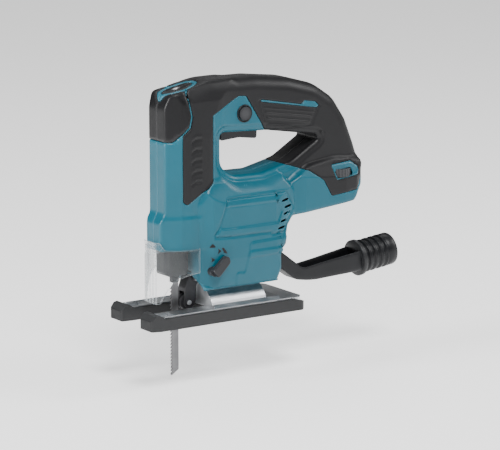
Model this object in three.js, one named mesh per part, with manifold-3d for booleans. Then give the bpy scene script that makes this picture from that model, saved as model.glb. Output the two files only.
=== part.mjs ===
// Cordless jigsaw with a closed D handle, bare of its battery: clamshell housing, brushless motor,
// reciprocating blade drive, orbital roller, tilting shoe and dust nozzle.
// Millimetres. Origin: centre of the shoe on its sole. +X rear, -Y the tool's left side, +Z up.
import * as THREE from "three";
import { mergeVertices } from "three/addons/utils/BufferGeometryUtils.js";
import Module from "manifold-3d";

const wasm = await Module();
wasm.setup();

// ---- driving dimensions -------------------------------------------------------------------
const GAP = 0.3; // clearance between pieces that touch
const FAR = 400; // longer than anything that it cuts
const FLAKE = 0.5; // smaller volumes are no piece

const WALL = 3.4; // housing wall
const SKIN = 1.7; // soft grip thickness
const SPLIT = 0.15; // each shell stops this far from the middle plane

const HANDLE_HALF = 17;
const HANDLE_ROUND = 6; // rounding of the handle's long edges
const NOSE_HALF = 20.3;
const BODY_HALF = 28.5;
const FOOT_HALF = 26;
const HANDLE_TOP = 196;
const BODY_BOTTOM = 26;
const NOSE_BOTTOM = 59.5;

const SHOE_LENGTH = 152;
const SHOE_WIDTH = 68;
const SHOE_RIM = 10;
const SOLE_SKIN = 1.6;
const RIM_WALL = 2;
const SLOT_HALF = 12.6; // half width of the gap between the fork's tines
const SLOT_END = -13;

const TILT_RADIUS = 28; // outer radius of the quadrant, whose axis is X through the origin
const QUADRANT_WALL = 3.2;
const QUADRANT = { front: -13, rear: 40 };
const TILT = 20; // each way, with the dust cover down
const SADDLE_HALF = 12.7;
const SHOE_SWEEP = 36.3; // clear radius under the housing for the tilting shoe

const BLADE_X = -34; // plunger and blade line
const STROKE = 18;
const ROD_R = 4;
const CRANK_Z = 68;
const MODULE = 0.9;
const GEAR_TEETH = 40;
const PINION_TEETH = 8;
const GEAR_R = (MODULE * GEAR_TEETH) / 2;
const PINION_R = (MODULE * PINION_TEETH) / 2;
const MOTOR_Z = CRANK_Z + GEAR_R + PINION_R;
const GEAR_FRONT = -10;
const GEAR_WIDTH = 6;
const CRANK_PIN_R = 2.8;
const FRAME = { front: -1, rear: 4 };
const REAR_BEARING = 55;
const CRANK_PIN_LENGTH = 2.6; // stops short of the yoke, whose link to it is left open
const AXLE_R = 3;
const BUSH_R = 6.3;
const BUSH_TOP = { bottom: 96, top: 105 };
const BUSH_LOW = { bottom: 54, top: 59 };
const RUN = 0.25; // running clearance round the plunger
const YOKE_PLAY = 0.35;
const YOKE = { thick: 5, wall: 2.4, neck: 1 };
const ROD_TOP = 115;
const CLAMP = { r: 6.2, tip: 3.9, bottom: 37, top: 44.5 };
const TOOTH = { pitch: 2.75, depth: 1.7 };
const PIN_R = 2;
const SHROUD = { bottom: 37.5, top: 59 };
const COVER = { front: -55.2, rear: -23.5, half: 21.2, wall: 1.5, top: 67 };
const BOLT = { x: 18, r: 3, head: 5 };
const SLIDE = 6; // how far the loosened shoe moves back
const SADDLE = { front: -8, rear: 36 };
const PLATE_RIM = 10.8; // the metal edge stands this high inside the black rim
const SPIGOT = { x: 148, z: 28.3, r: 14.2, length: 37, slope: THREE.MathUtils.degToRad(7) };
const DIAL_Y = -15.6;

const STATOR = { front: 13, length: 31, r: 19, bore: 11.6 };
const SHAFT_R = 2.5;
const NECK_R = 1.8; // the shaft under the pinion
const BEARING = { r: 6.5, width: 5 };
const FAN = { x: 46.5, width: 7, r: 19.5 };

const BLADE = { back: -30.5, tooth: -38, half: 0.65, tip: -47.5, top: 37 };
const ROLLER = { x: -23.1, z: 13, r: 6.8, half: 3.2 };
const ARM_PIVOT = { x: -18, z: 33, r: 2 };
const TRIGGER = { front: 7, rear: 43, half: 8, bottom: 143 };
const LOCK = { x: 23.8, z: 166.6, r: 5.7 };
const DIAL = { x: 118.6, z: 109, r: 11, half: 3.4 };
const LEVER = { x: -13, z: 41.5, angle: 42 };
const POCKET = { front: 76, rear: 126, half: 16, ceiling: 89 };

// ---- outlines: [across, up, corner radius] ------------------------------------------------
const RING_OUTLINE = [
  [-40, 84, 8], [-42, 186, 10], [-8, HANDLE_TOP + 0.6, 16], [36, HANDLE_TOP - 0.4, 40],
  [70, HANDLE_TOP - 4, 40], [97, 184.5, 30], [116, 172, 24], [129, 153, 22], [138, 131, 12],
  [143, 116, 9], [140, 98, 9], [110, 88, 9], [60, 84, 9], [10, 84, 9],
];
const RING_HOLE = [
  [1.6, 152.2, 4], [1.6, 124, 14], [14, 116, 16], [42, 115.5, 20], [72, 122.5, 24],
  [98.5, 138.5, 7], [96, 142.5, 3], [48, 150.2, 20],
];
const NOSE_OUTLINE = [
  [-54, NOSE_BOTTOM, 1.5], [-54, 82, 4], [-50, 90, 6], [-50, 176, 14], [-46, 186.5, 4],
  [-12, 194, 6], [2, 180, 6], [2, 100, 6], [-4, NOSE_BOTTOM, 3],
];
const NOSE_PLAN = [
  [-54, -8, 1.5], [-43, -15.5, 4], [-30, -NOSE_HALF, 8], [2, -NOSE_HALF, 6],
  [2, NOSE_HALF, 6], [-30, NOSE_HALF, 8], [-43, 15.5, 4], [-54, 8, 1.5],
];
const BODY_OUTLINE = [
  [-22, BODY_BOTTOM, 2], [50, BODY_BOTTOM, 3], [54, 36, 3], [53.5, 53, 2], [59, 55.5, 3],
  [62, 71, 4], [70, 80, 6], [67, 97, 10], [56, 109, 8], [20, 115, 12], [-10, 109, 10],
  [-24, 97, 8], [-22.5, 60, 2],
];
const BODY_PLAN = [
  [-22, -20, 3], [-12, -26.5, 6], [4, -BODY_HALF, 8], [48, -BODY_HALF, 8], [70, -23, 6],
  [70, 23, 6], [48, BODY_HALF, 8], [4, BODY_HALF, 8], [-12, 26.5, 6], [-22, 20, 3],
];
const BODY_FRONT = [
  [-26.5, BODY_BOTTOM, 1], [26.5, BODY_BOTTOM, 1], [BODY_HALF, 48, 8], [BODY_HALF, 92, 8],
  [19, 116, 8], [-19, 116, 8], [-BODY_HALF, 92, 8], [-BODY_HALF, 48, 8],
];
const FOOT_OUTLINE = [
  [62, 77, 3], [130, 84.3, 3], [137, 93, 4], [145, 101.5, 3], [145, 111, 4], [139, 119, 6],
  [112, 122, 10], [86, 118, 10], [64, 104, 8],
];
const FOOT_PLAN = [
  [60, -20, 4], [78, -25, 8], [126, -FOOT_HALF, 8], [139, -22, 5], [145, -12, 4],
  [145, 12, 4], [139, 22, 5], [126, FOOT_HALF, 8], [78, 25, 8], [60, 20, 4],
];
const GRIP_REGION = [
  [-36.9, 153.7, 1], [-36.9, 97.5, 1.5], [-33.5, 97, 1.5], [-14.6, 109, 2], [-8.5, 114, 3],
  [-8.5, 168, 1.5], [18.4, 181.5, 3], [25.5, 181, 3], [44, 152, 1], [55, 140, 1], [70, 130, 1],
  [63.6, 121, 1], [85, 114, 4], [98, 105, 4], [106, 91, 1.5], [133, 93.5, 1], [160, 84, 1],
  [160, 215, 1], [-15, 215, 1], [-31.8, 187.5, 1], [-28, 168.6, 2], [-30.2, 159.7, 2],
];
const CAP_REGION = [
  [-70, 148.7, 1], [-44, 148.7, 1], [-31.5, 160.4, 1.5], [-29.3, 168.5, 1.5],
  [-33, 186.5, 1], [-70, 182.5, 1],
];

// ---- solids from three.js geometry --------------------------------------------------------
function solid(geometry) {
  const bare = geometry.index ? geometry.toNonIndexed() : geometry.clone();
  bare.deleteAttribute("normal");
  bare.deleteAttribute("uv");
  const merged = mergeVertices(bare, 1e-4);
  return new wasm.Manifold(
    new wasm.Mesh({
      numProp: 3,
      vertProperties: new Float32Array(merged.attributes.position.array),
      triVerts: new Uint32Array(merged.index.array),
    }),
  );
}

const join = (...pieces) => pieces.reduce((whole, piece) => whole.add(piece));
const cut = (whole, ...tools) => tools.reduce((rest, tool) => rest.subtract(tool), whole);
const moved = (piece, x, y, z) => piece.translate([x, y, z]);

// Twice the signed area of a corner list: positive when it runs anticlockwise.
function turning(corners) {
  return corners.reduce((sum, [x, y], i) => {
    const [nx, ny] = corners[(i + 1) % corners.length];
    return sum + x * ny - nx * y;
  }, 0);
}

// The same outline moved outwards by distance, with its corner radii kept concentric.
function offset(corners, distance) {
  if (!distance) return corners;
  const turn = Math.sign(turning(corners));
  return corners.map(([x, y, r], i) => {
    const [px, py] = corners[(i + corners.length - 1) % corners.length];
    const [nx, ny] = corners[(i + 1) % corners.length];
    const before = new THREE.Vector2(x - px, y - py).normalize();
    const after = new THREE.Vector2(nx - x, ny - y).normalize();
    const a = new THREE.Vector2(before.y, -before.x).multiplyScalar(turn);
    const b = new THREE.Vector2(after.y, -after.x).multiplyScalar(turn);
    const scale = distance / (1 + a.dot(b));
    const convex = before.cross(after) * turn > 0;
    const radius = Math.max(0.4, convex ? r + distance : r - distance);
    return [x + (a.x + b.x) * scale, y + (a.y + b.y) * scale, radius];
  });
}

// A closed path through the corners, each rounded by its radius where its sides are long enough.
function rounded(corners) {
  const path = new THREE.Shape();
  corners.forEach(([x, y, r], i) => {
    const [px, py] = corners[(i + corners.length - 1) % corners.length];
    const [nx, ny] = corners[(i + 1) % corners.length];
    const back = new THREE.Vector2(px - x, py - y);
    const ahead = new THREE.Vector2(nx - x, ny - y);
    const room = 0.45 * Math.min(back.length(), ahead.length());
    const clockwise = back.cross(ahead) > 0;
    back.normalize();
    ahead.normalize();
    const half = Math.acos(THREE.MathUtils.clamp(back.dot(ahead), -1, 1)) / 2;
    const reach = Math.min(r / Math.tan(half), room);
    const radius = reach * Math.tan(half);
    const inward = back.clone().add(ahead).setLength(radius / Math.sin(half));
    const [cx, cy] = [x + inward.x, y + inward.y];
    const start = Math.atan2(y + back.y * reach - cy, x + back.x * reach - cx);
    const end = Math.atan2(y + ahead.y * reach - cy, x + ahead.x * reach - cx);
    path.absarc(cx, cy, radius, start, end, clockwise);
  });
  path.closePath();
  return path;
}

// Extrusions of an outline along each axis. Bevels round the two end edges inwards.
function extruded(shape, depth, bevel, steps) {
  // An arc is drawn with two sides for each step.
  return new THREE.ExtrudeGeometry(shape, {
    depth: depth - 2 * bevel,
    curveSegments: steps,
    bevelEnabled: bevel > 0,
    bevelThickness: bevel,
    bevelSize: bevel,
    bevelOffset: -bevel,
    bevelSegments: steps,
  }).translate(0, 0, bevel);
}
function sidePlate(corners, y0, y1, { bevel = 0, steps = 2 } = {}) {
  const plate = extruded(rounded(corners), y1 - y0, bevel, steps);
  return solid(plate.rotateX(Math.PI / 2).translate(0, y1, 0));
}
function planPlate(corners, z0, z1, { bevel = 0, steps = 2 } = {}) {
  return solid(extruded(rounded(corners), z1 - z0, bevel, steps).translate(0, 0, z0));
}
function frontPlate(corners, x0, x1, { bevel = 0, steps = 2 } = {}) {
  const plate = extruded(rounded(corners), x1 - x0, bevel, steps);
  const turn = new THREE.Matrix4().makeBasis(
    new THREE.Vector3(0, 1, 0), new THREE.Vector3(0, 0, 1), new THREE.Vector3(1, 0, 0));
  return solid(plate.applyMatrix4(turn).translate(x0, 0, 0));
}
function box(x0, x1, y0, y1, z0, z1) {
  const block = new THREE.BoxGeometry(x1 - x0, y1 - y0, z1 - z0);
  return solid(block.translate((x0 + x1) / 2, (y0 + y1) / 2, (z0 + z1) / 2));
}

// Cylinders along each axis; the two numbers after the radius are where they start and end.
function alongX(r, x0, x1, y, z, sides = 18) {
  const rod = new THREE.CylinderGeometry(r, r, x1 - x0, sides);
  return solid(rod.rotateZ(-Math.PI / 2).translate((x0 + x1) / 2, y, z));
}
function alongY(r, y0, y1, x, z, sides = 16) {
  return solid(new THREE.CylinderGeometry(r, r, y1 - y0, sides).translate(x, (y0 + y1) / 2, z));
}
function alongZ(r, z0, z1, x, y, sides = 16) {
  const rod = new THREE.CylinderGeometry(r, r, z1 - z0, sides);
  return solid(rod.rotateX(Math.PI / 2).translate(x, y, (z0 + z1) / 2));
}
// A turned piece: profile of [radius, distance along the axis] points.
function turned(profile, sides = 24) {
  return new THREE.LatheGeometry(profile.map(([r, h]) => new THREE.Vector2(r, h)), sides);
}
const turnedX = (profile, y, z, sides) =>
  solid(turned(profile, sides).rotateZ(-Math.PI / 2).translate(0, y, z));

// A round bar following a line of points.
function wire(points, r, sides, steps) {
  const bar = new THREE.Shape().absarc(0, 0, r, 0, 2 * Math.PI);
  const route = new THREE.CatmullRomCurve3(points.map((p) => new THREE.Vector3(...p)));
  return solid(new THREE.ExtrudeGeometry(bar, {
    steps, extrudePath: route, curveSegments: sides, bevelEnabled: false,
  }));
}
function helix(r, z0, z1, turns, perTurn = 8) {
  return Array.from({ length: turns * perTurn + 1 }, (_, i) => {
    const angle = (2 * Math.PI * i) / perTurn;
    return [r * Math.cos(angle), r * Math.sin(angle), z0 + ((z1 - z0) * i) / (turns * perTurn)];
  });
}

// A spur gear outline with narrow trapezoid teeth, centred on the origin.
function gearShape(teeth, pitchR, phase, bore) {
  const pitch = (2 * Math.PI) / teeth;
  const tip = pitchR + 0.62 * MODULE;
  const root = pitchR - 0.95 * MODULE;
  const points = [];
  for (let i = 0; i < teeth; i++) {
    const at = i * pitch + phase;
    for (const [r, share] of [[root, -0.25], [tip, -0.12], [tip, 0.12], [root, 0.25]])
      points.push(new THREE.Vector2(r * Math.cos(at + share * pitch), r * Math.sin(at + share * pitch)));
  }
  const shape = new THREE.Shape(points);
  shape.holes.push(new THREE.Path().absarc(0, 0, bore, 0, 2 * Math.PI));
  return shape;
}
function gear(shape, x0, width, z) {
  const wheel = new THREE.ExtrudeGeometry(shape, {
    depth: width, bevelEnabled: false, curveSegments: 8,
  });
  const turn = new THREE.Matrix4().makeBasis(
    new THREE.Vector3(0, 1, 0), new THREE.Vector3(0, 0, 1), new THREE.Vector3(1, 0, 0));
  return solid(wheel.applyMatrix4(turn).translate(x0, 0, z));
}

// ---- the housing's outside, and the same form moved inwards --------------------------------
const tiltRound = (r, x0, x1) => alongX(r, x0, x1, 0, 0, 56);

const FACETS = 1; // an arc of the housing has two sides for each

// The hand hole, flared at both ends so that its edges are rounded over.
function handHoleTool(inset) {
  const flare = HANDLE_ROUND - inset / 2;
  const half = HANDLE_HALF - inset;
  const geometry = new THREE.ExtrudeGeometry(rounded(offset(RING_HOLE, inset)), {
    depth: 2 * (half - flare), curveSegments: FACETS, bevelEnabled: true,
    bevelThickness: flare, bevelSize: -flare, bevelOffset: flare, bevelSegments: FACETS,
  });
  return solid(geometry.rotateX(Math.PI / 2).translate(0, half - flare, 0));
}

function hull(inset) {
  const steps = { steps: FACETS };
  const side = (corners) => sidePlate(offset(corners, -inset), -FAR, FAR, steps);
  const plan = (corners) => planPlate(offset(corners, -inset), -FAR, FAR, steps);
  const half = HANDLE_HALF - inset;
  const ring = sidePlate(offset(RING_OUTLINE, -inset), -half, half, {
    bevel: HANDLE_ROUND - inset / 2, ...steps,
  }).subtract(handHoleTool(inset));
  const nose = side(NOSE_OUTLINE).intersect(plan(NOSE_PLAN));
  const body = side(BODY_OUTLINE).intersect(plan(BODY_PLAN))
    .intersect(frontPlate(offset(BODY_FRONT, -inset), -FAR, FAR, steps));
  const foot = side(FOOT_OUTLINE).intersect(plan(FOOT_PLAN));
  return { ring, nose, body, foot, whole: join(ring, nose, body, foot) };
}
const OUTER = hull(0);
const handHole = sidePlate(RING_HOLE, -FAR, FAR);
const outside = cut(OUTER.whole, handHole, tiltRound(SHOE_SWEEP, -60, 70));

function cavity(inset) {
  const { ring, nose, body, foot } = hull(inset);
  const footRoom = foot.subtract(box(-FAR, FAR, -FAR, FAR, -FAR, POCKET.ceiling + WALL - inset + WALL));
  const holeWall = sidePlate(offset(RING_HOLE, inset), -FAR, FAR, { steps: 1 });
  return cut(join(ring, nose, body, footRoom), holeWall, tiltRound(SHOE_SWEEP + inset, -60, 70));
}
const inside = cavity(WALL);
const halfSpace = (side, gap) =>
  side < 0 ? box(-FAR, FAR, -FAR, -gap, -FAR, FAR) : box(-FAR, FAR, gap, FAR, -FAR, FAR);

// Soft skins lie in pockets cut from the housing's outside.
const core = (depth) =>
  hull(depth).whole.subtract(sidePlate(offset(RING_HOLE, depth), -FAR, FAR, { steps: 1 }));
const skinCore = core(SKIN);
const pocketCore = core(SKIN + GAP);
const region = (corners, grow) => sidePlate(offset(corners, grow), -FAR, FAR, { steps: 1 });
const skinOver = (corners) => outside.intersect(region(corners, 0)).subtract(skinCore);
const pocketFor = (corners) => region(corners, GAP).subtract(pocketCore);

const SCREWS = [
  { x: -41, z: 172 }, { x: -45.5, z: 70 }, { x: 47, z: 62 }, { x: 100, z: 171 }, { x: 134, z: 104 },
];
const SCREW = { shank: 1.6, head: 3.2, headDepth: 2.4, boss: 4 };
const VENTS = [[58.1, 93.1], [61, 87.4], [60.1, 82], [56.6, 76.1], [53.6, 70.5]];
const NOZZLE_ROOT = { half: 9, bottom: 33, top: 53 };

// Widest point of the housing on a screw's axis.
function surfaceAt(x, z) {
  const core = outside.intersect(alongY(0.5, 0, FAR, x, z, 8));
  return core.boundingBox().max[1];
}

const gripPocket = pocketFor(GRIP_REGION);
const capPocket = pocketFor(CAP_REGION);
const dialWindow = box(109.5, 127.7, -30, -18,
  DIAL.z - DIAL.half - 0.6, DIAL.z + DIAL.half + 0.6);

function shell(side) {
  const bosses = SCREWS.map(({ x, z }) =>
    alongY(SCREW.boss, -FAR, FAR, x, z, 10).intersect(outside));
  let half = join(cut(outside, inside), ...bosses).intersect(halfSpace(side, SPLIT));
  for (const { x, z } of SCREWS) {
    const top = surfaceAt(x, z);
    if (side > 0) {
      half = cut(half, alongY(SCREW.shank + GAP, -1, top + 1, x, z, 12),
        alongY(SCREW.head + GAP, top - SCREW.headDepth - 1 - GAP, top + 5, x, z, 16));
    } else half = cut(half, alongY(SCREW.shank + GAP, -9 - GAP, 1, x, z, 12));
  }
  const vents = VENTS.map(([x, z]) =>
    moved(box(-4, 4, -FAR, FAR, -1.2, 1.2).rotate([0, -12, 0]), x, 0, z)
      .intersect(halfSpace(side, 15)));
  half = cut(half, ...vents,
    gripPocket, capPocket,
    box(TRIGGER.front - GAP, TRIGGER.rear + GAP, -TRIGGER.half - GAP, TRIGGER.half + GAP, 148, 160),
    box(44, 60, -NOZZLE_ROOT.half - GAP, NOZZLE_ROOT.half + GAP,
      NOZZLE_ROOT.bottom - GAP, NOZZLE_ROOT.top + GAP),
    box(POCKET.front, POCKET.rear, -POCKET.half, POCKET.half, 60, POCKET.ceiling),
    alongZ(ROD_R + GAP, 50, 66, BLADE_X, 0));
  if (side < 0)
    half = cut(half,
      alongY(LOCK.r + GAP, -30, -10, LOCK.x, LOCK.z),
      dialWindow,
      alongZ(DIAL.r + 0.6, DIAL.z - DIAL.half - 0.6, DIAL.z + DIAL.half + 0.6, DIAL.x, -15.6, 32),
      alongY(4 + GAP, -40, -16, LEVER.x, LEVER.z));
  const pivotBoss = alongY(4.5, -15, 15, ARM_PIVOT.x, ARM_PIVOT.z, 16).intersect(outside)
    .intersect(halfSpace(side, SPLIT));
  return cut(join(half, pivotBoss),
    alongY(ARM_PIVOT.r + GAP, -11, 11, ARM_PIVOT.x, ARM_PIVOT.z, 16),
    box(-30, ARM_PIVOT.x + 5.5, -7, 7, 20, ARM_PIVOT.z + 6));
}

// ---- scene graph --------------------------------------------------------------------------
const finishes = {
  teal: { color: 0x007c92, roughness: 0.42, metalness: 0 },
  black: { color: 0x26272b, roughness: 0.7, metalness: 0 },
  dark: { color: 0x33363c, roughness: 0.5, metalness: 0 },
  steel: { color: 0xb4b8bc, roughness: 0.3, metalness: 1 },
  alloy: { color: 0xc4c8cc, roughness: 0.45, metalness: 0.9 },
  copper: { color: 0xb06a3a, roughness: 0.4, metalness: 0.9 },
  board: { color: 0x1d4a2c, roughness: 0.5, metalness: 0 },
  magnet: { color: 0x5a5c60, roughness: 0.4, metalness: 0.8 },
  clear: { color: 0xdfe8ee, roughness: 0.1, metalness: 0 },
};
const group = new THREE.Group();
group.name = "jigsaw";
function add(name, piece, finish) {
  // Cuts that run along a face leave empty flakes, so only the piece itself is kept.
  const bodies = piece.decompose().filter((body) => Math.abs(body.volume()) > FLAKE);
  if (bodies.length !== 1) throw new Error(name + " is " + bodies.length + " bodies");
  const { vertProperties, triVerts } = bodies[0].getMesh();
  const geometry = new THREE.BufferGeometry();
  geometry.setAttribute("position", new THREE.BufferAttribute(vertProperties, 3));
  geometry.setIndex(new THREE.BufferAttribute(triVerts, 1));
  geometry.computeVertexNormals();
  const mesh = new THREE.Mesh(geometry, new THREE.MeshStandardMaterial(finishes[finish]));
  mesh.name = name;
  group.add(mesh);
}

// ---- housing, grips and screws --------------------------------------------------------------
add("housing_left", shell(-1), "teal");
add("housing_right", shell(1), "teal");
const gripSkin = skinOver(GRIP_REGION);
add("grip_left", cut(gripSkin.intersect(halfSpace(-1, SPLIT)), dialWindow), "black");
const rightGrip = SCREWS.reduce(
  (grip, { x, z }) => cut(grip, alongY(SCREW.head + GAP, 0, 60, x, z)),
  gripSkin.intersect(halfSpace(1, SPLIT)));
add("grip_right", rightGrip, "black");
add("front_cap", cut(skinOver(CAP_REGION),
  alongY(SCREW.head + GAP, 0, 60, SCREWS[0].x, SCREWS[0].z)), "black");
SCREWS.forEach(({ x, z }, i) => {
  const top = surfaceAt(x, z) - 1;
  const head = alongY(SCREW.head, top - SCREW.headDepth, top, x, z, 16);
  const shank = alongY(SCREW.shank, -9, top - SCREW.headDepth + 0.1, x, z, 12);
  const socket = alongY(1.5, top - 1.4, top + 1, x, z, 6);
  add("housing_screw_" + (i + 1), cut(join(head, shank), socket), "steel");
});

// ---- motor ----------------------------------------------------------------------------------
const { front: s0, length: sl } = STATOR;
const slots = Array.from({ length: 6 }, (_, i) =>
  moved(box(s0 - 1, s0 + sl + 1, -2.6, 2.6, STATOR.bore + 1.4, STATOR.r - 3)
    .rotate([60 * i + 30, 0, 0]), 0, 0, MOTOR_Z));
add("stator", cut(alongX(STATOR.r, s0, s0 + sl, 0, MOTOR_Z, 36),
  alongX(STATOR.bore, s0 - 1, s0 + sl + 1, 0, MOTOR_Z, 36), ...slots), "magnet");
add("rotor", turnedX([
  [0, GEAR_FRONT - 2], [NECK_R, GEAR_FRONT - 2], [NECK_R, FRAME.front - 1.5],
  [SHAFT_R, FRAME.front - 1.5], [SHAFT_R, s0 + 2], [STATOR.bore - 0.8, s0 + 2],
  [STATOR.bore - 0.8, s0 + sl - 2], [SHAFT_R, s0 + sl - 2], [SHAFT_R, REAR_BEARING + 6],
  [0, REAR_BEARING + 6],
], 0, MOTOR_Z), "steel");
const blades = Array.from({ length: 9 }, (_, i) =>
  moved(box(FAN.x + 1.5, FAN.x + FAN.width, -0.6, 0.6, 8, FAN.r - 0.5)
    .rotate([(360 / 9) * i, 0, 0]), 0, 0, MOTOR_Z));
add("cooling_fan", cut(join(alongX(FAN.r, FAN.x, FAN.x + 2, 0, MOTOR_Z, 32),
  alongX(8.5, FAN.x, FAN.x + FAN.width, 0, MOTOR_Z), ...blades),
  alongX(SHAFT_R + GAP, 0, 90, 0, MOTOR_Z)), "dark");
for (const [name, x] of [["motor_bearing_front", FRAME.front], ["motor_bearing_rear", REAR_BEARING]])
  add(name, cut(alongX(BEARING.r, x, x + BEARING.width, 0, MOTOR_Z),
    alongX(SHAFT_R + GAP, -20, 90, 0, MOTOR_Z)), "steel");

// ---- drive: pinion, crank gear, plunger -----------------------------------------------------
// The gear has a tooth gap on the line of centres, where the pinion has a tooth.
const gearPhase = Math.PI / 2 + Math.PI / GEAR_TEETH;
add("pinion", gear(gearShape(PINION_TEETH, PINION_R, -Math.PI / 2, NECK_R + GAP),
  GEAR_FRONT - 1, GEAR_WIDTH + 2, MOTOR_Z), "steel");
const crankPin = alongX(CRANK_PIN_R, GEAR_FRONT - CRANK_PIN_LENGTH, GEAR_FRONT + 1,
  STROKE / 2, CRANK_Z, 16);
const gearWeb = gear(gearShape(GEAR_TEETH, GEAR_R, gearPhase, AXLE_R + GAP),
  GEAR_FRONT, GEAR_WIDTH, CRANK_Z);
add("crank_gear", join(gearWeb, crankPin), "steel");
add("gear_axle", join(
  alongX(AXLE_R, GEAR_FRONT - 1.2, FRAME.rear + 4, 0, CRANK_Z),
  alongX(AXLE_R + 2, FRAME.front - 1.6, FRAME.front - GAP, 0, CRANK_Z)), "steel");

// Frame plate behind the gear, with an arm forward to the upper plunger bush.
const frameSeat = cavity(WALL + GAP).intersect(box(FRAME.front, FRAME.rear, -40, 40, 47, 112));
const topArm = box(BLADE_X - 7.5, FRAME.rear, -8, 8, BUSH_TOP.bottom, BUSH_TOP.top);
add("gear_frame", cut(join(frameSeat, topArm),
  alongX(BEARING.r + GAP, -60, 60, 0, MOTOR_Z).intersect(box(FRAME.front, 9, -9, 9, 70, 112)),
  alongX(AXLE_R + GAP, -30, 20, 0, CRANK_Z),
  alongX(PINION_R + 4, -30, FRAME.front, 0, MOTOR_Z).intersect(box(-30, FRAME.front, -9, 9, 70, 112)),
  alongZ(BUSH_R + GAP, 60, 130, BLADE_X, 0)), "alloy");
for (const [name, seat] of [["plunger_bush_upper", BUSH_TOP], ["plunger_bush_lower", BUSH_LOW]])
  add(name, cut(alongZ(BUSH_R, seat.bottom, seat.top, BLADE_X, 0),
    alongZ(ROD_R + RUN, 0, 150, BLADE_X, 0)), "copper");

// The yoke's slot lets the crank pin run sideways while it drives the rod up and down.
const yokeRear = GEAR_FRONT - CRANK_PIN_LENGTH - 0.5;
const yokeFront = yokeRear - YOKE.thick;
const slotHalf = CRANK_PIN_R + YOKE_PLAY;
const yokeReach = STROKE / 2 + slotHalf + YOKE.wall;
const yokeTop = CRANK_Z + slotHalf + YOKE.neck + YOKE.wall;
const yoke = cut(
  join(box(yokeFront, yokeRear, -yokeReach, yokeReach, CRANK_Z - slotHalf - YOKE.wall, yokeTop),
    box(BLADE_X, yokeFront + 2, -5, 5, CRANK_Z + slotHalf + YOKE.neck, yokeTop)),
  box(yokeFront - 1, yokeRear + 1, YOKE.wall - yokeReach, yokeReach - YOKE.wall,
    CRANK_Z - slotHalf, CRANK_Z + slotHalf));
const rod = alongZ(ROD_R, BLADE.top + 6, ROD_TOP, BLADE_X, 0);
const bladeSlit = box(BLADE_X - 3.2, BLADE_X + 3.2, -BLADE.half - GAP, BLADE.half + GAP, 20, CLAMP.top - 3);
add("plunger", cut(join(rod, yoke), bladeSlit), "steel");
add("blade_clamp", cut(join(
  alongZ(CLAMP.r, CLAMP.bottom, CLAMP.top, BLADE_X, 0),
  alongZ(CLAMP.tip, CLAMP.bottom - 6, CLAMP.bottom + 0.5, BLADE_X, 0)),
  alongZ(ROD_R + GAP, BLADE.top + 6 - GAP, 80, BLADE_X, 0), bladeSlit), "dark");

// ---- blade ------------------------------------------------------------------------------------
function bladeOutline() {
  const teeth = [];
  const count = Math.floor((28 - (BLADE.tip + 1)) / TOOTH.pitch);
  for (let i = 0; i < count; i++) {
    const z = BLADE.tip + 1 + i * TOOTH.pitch;
    teeth.push([BLADE.tooth, z], [BLADE.tooth + TOOTH.depth, z + TOOTH.pitch * 0.82]);
  }
  const outline = [[BLADE.tooth + 0.8, BLADE.tip], ...teeth,
    [BLADE.tooth + 3.2, 29.5], [BLADE_X - 2.8, 30.5], [BLADE_X - 2.8, BLADE.top], [BLADE_X + 2.8, BLADE.top],
    [BLADE_X + 2.8, 30.5], [BLADE.back, 29.5], [BLADE.back, BLADE.tip + 4.5]];
  return new THREE.Shape(outline.map(([x, z]) => new THREE.Vector2(x, z)));
}
add("saw_blade", solid(extruded(bladeOutline(), 2 * BLADE.half, 0, 1)
  .rotateX(Math.PI / 2).translate(0, BLADE.half, 0)), "steel");

// ---- orbital action -----------------------------------------------------------------------
const armSide = [[ARM_PIVOT.x - 4.5, ARM_PIVOT.z + 4, 4], [ARM_PIVOT.x + 4, ARM_PIVOT.z + 4, 3.5],
  [ARM_PIVOT.x + 4, ARM_PIVOT.z - 2, 2], [ARM_PIVOT.x + 2, ARM_PIVOT.z - 7, 3],
  [ROLLER.x + 7, ROLLER.z + 2, 4], [ROLLER.x + 4, ROLLER.z - 4.5, 4.5],
  [ROLLER.x - 4.5, ROLLER.z - 4, 4.5], [ROLLER.x - 4, ROLLER.z + 4, 4],
  [ARM_PIVOT.x - 8.5, ARM_PIVOT.z - 8, 4]];
const forkHalf = ROLLER.half + GAP + 2;
add("orbital_arm", cut(sidePlate(armSide, -forkHalf, forkHalf),
  alongY(ROLLER.r + 0.8, -ROLLER.half - GAP, ROLLER.half + GAP, ROLLER.x, ROLLER.z, 24),
  box(ROLLER.x - 9, ROLLER.x + 3, -ROLLER.half - GAP, ROLLER.half + GAP, 0, ROLLER.z + 9),
  alongY(PIN_R + RUN, -20, 20, ROLLER.x, ROLLER.z),
  alongY(ARM_PIVOT.r + RUN, -20, 20, ARM_PIVOT.x, ARM_PIVOT.z)),
  "black");
add("arm_pivot_pin", alongY(ARM_PIVOT.r, -forkHalf - 5, forkHalf + 5, ARM_PIVOT.x, ARM_PIVOT.z, 16), "steel");
const groove = new THREE.LatheGeometry([[PIN_R + RUN, -ROLLER.half], [ROLLER.r, -ROLLER.half],
  [ROLLER.r, -1.4], [ROLLER.r - 1.3, -0.9], [ROLLER.r - 1.3, 0.9], [ROLLER.r, 1.4],
  [ROLLER.r, ROLLER.half], [PIN_R + RUN, ROLLER.half], [PIN_R + RUN, -ROLLER.half],
].map(([r, h]) => new THREE.Vector2(r, h)), 28);
add("blade_roller", solid(groove.translate(ROLLER.x, 0, ROLLER.z)), "steel");
add("roller_pin", alongY(PIN_R, -forkHalf - 0.8, forkHalf + 0.8, ROLLER.x, ROLLER.z, 16), "steel");

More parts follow.
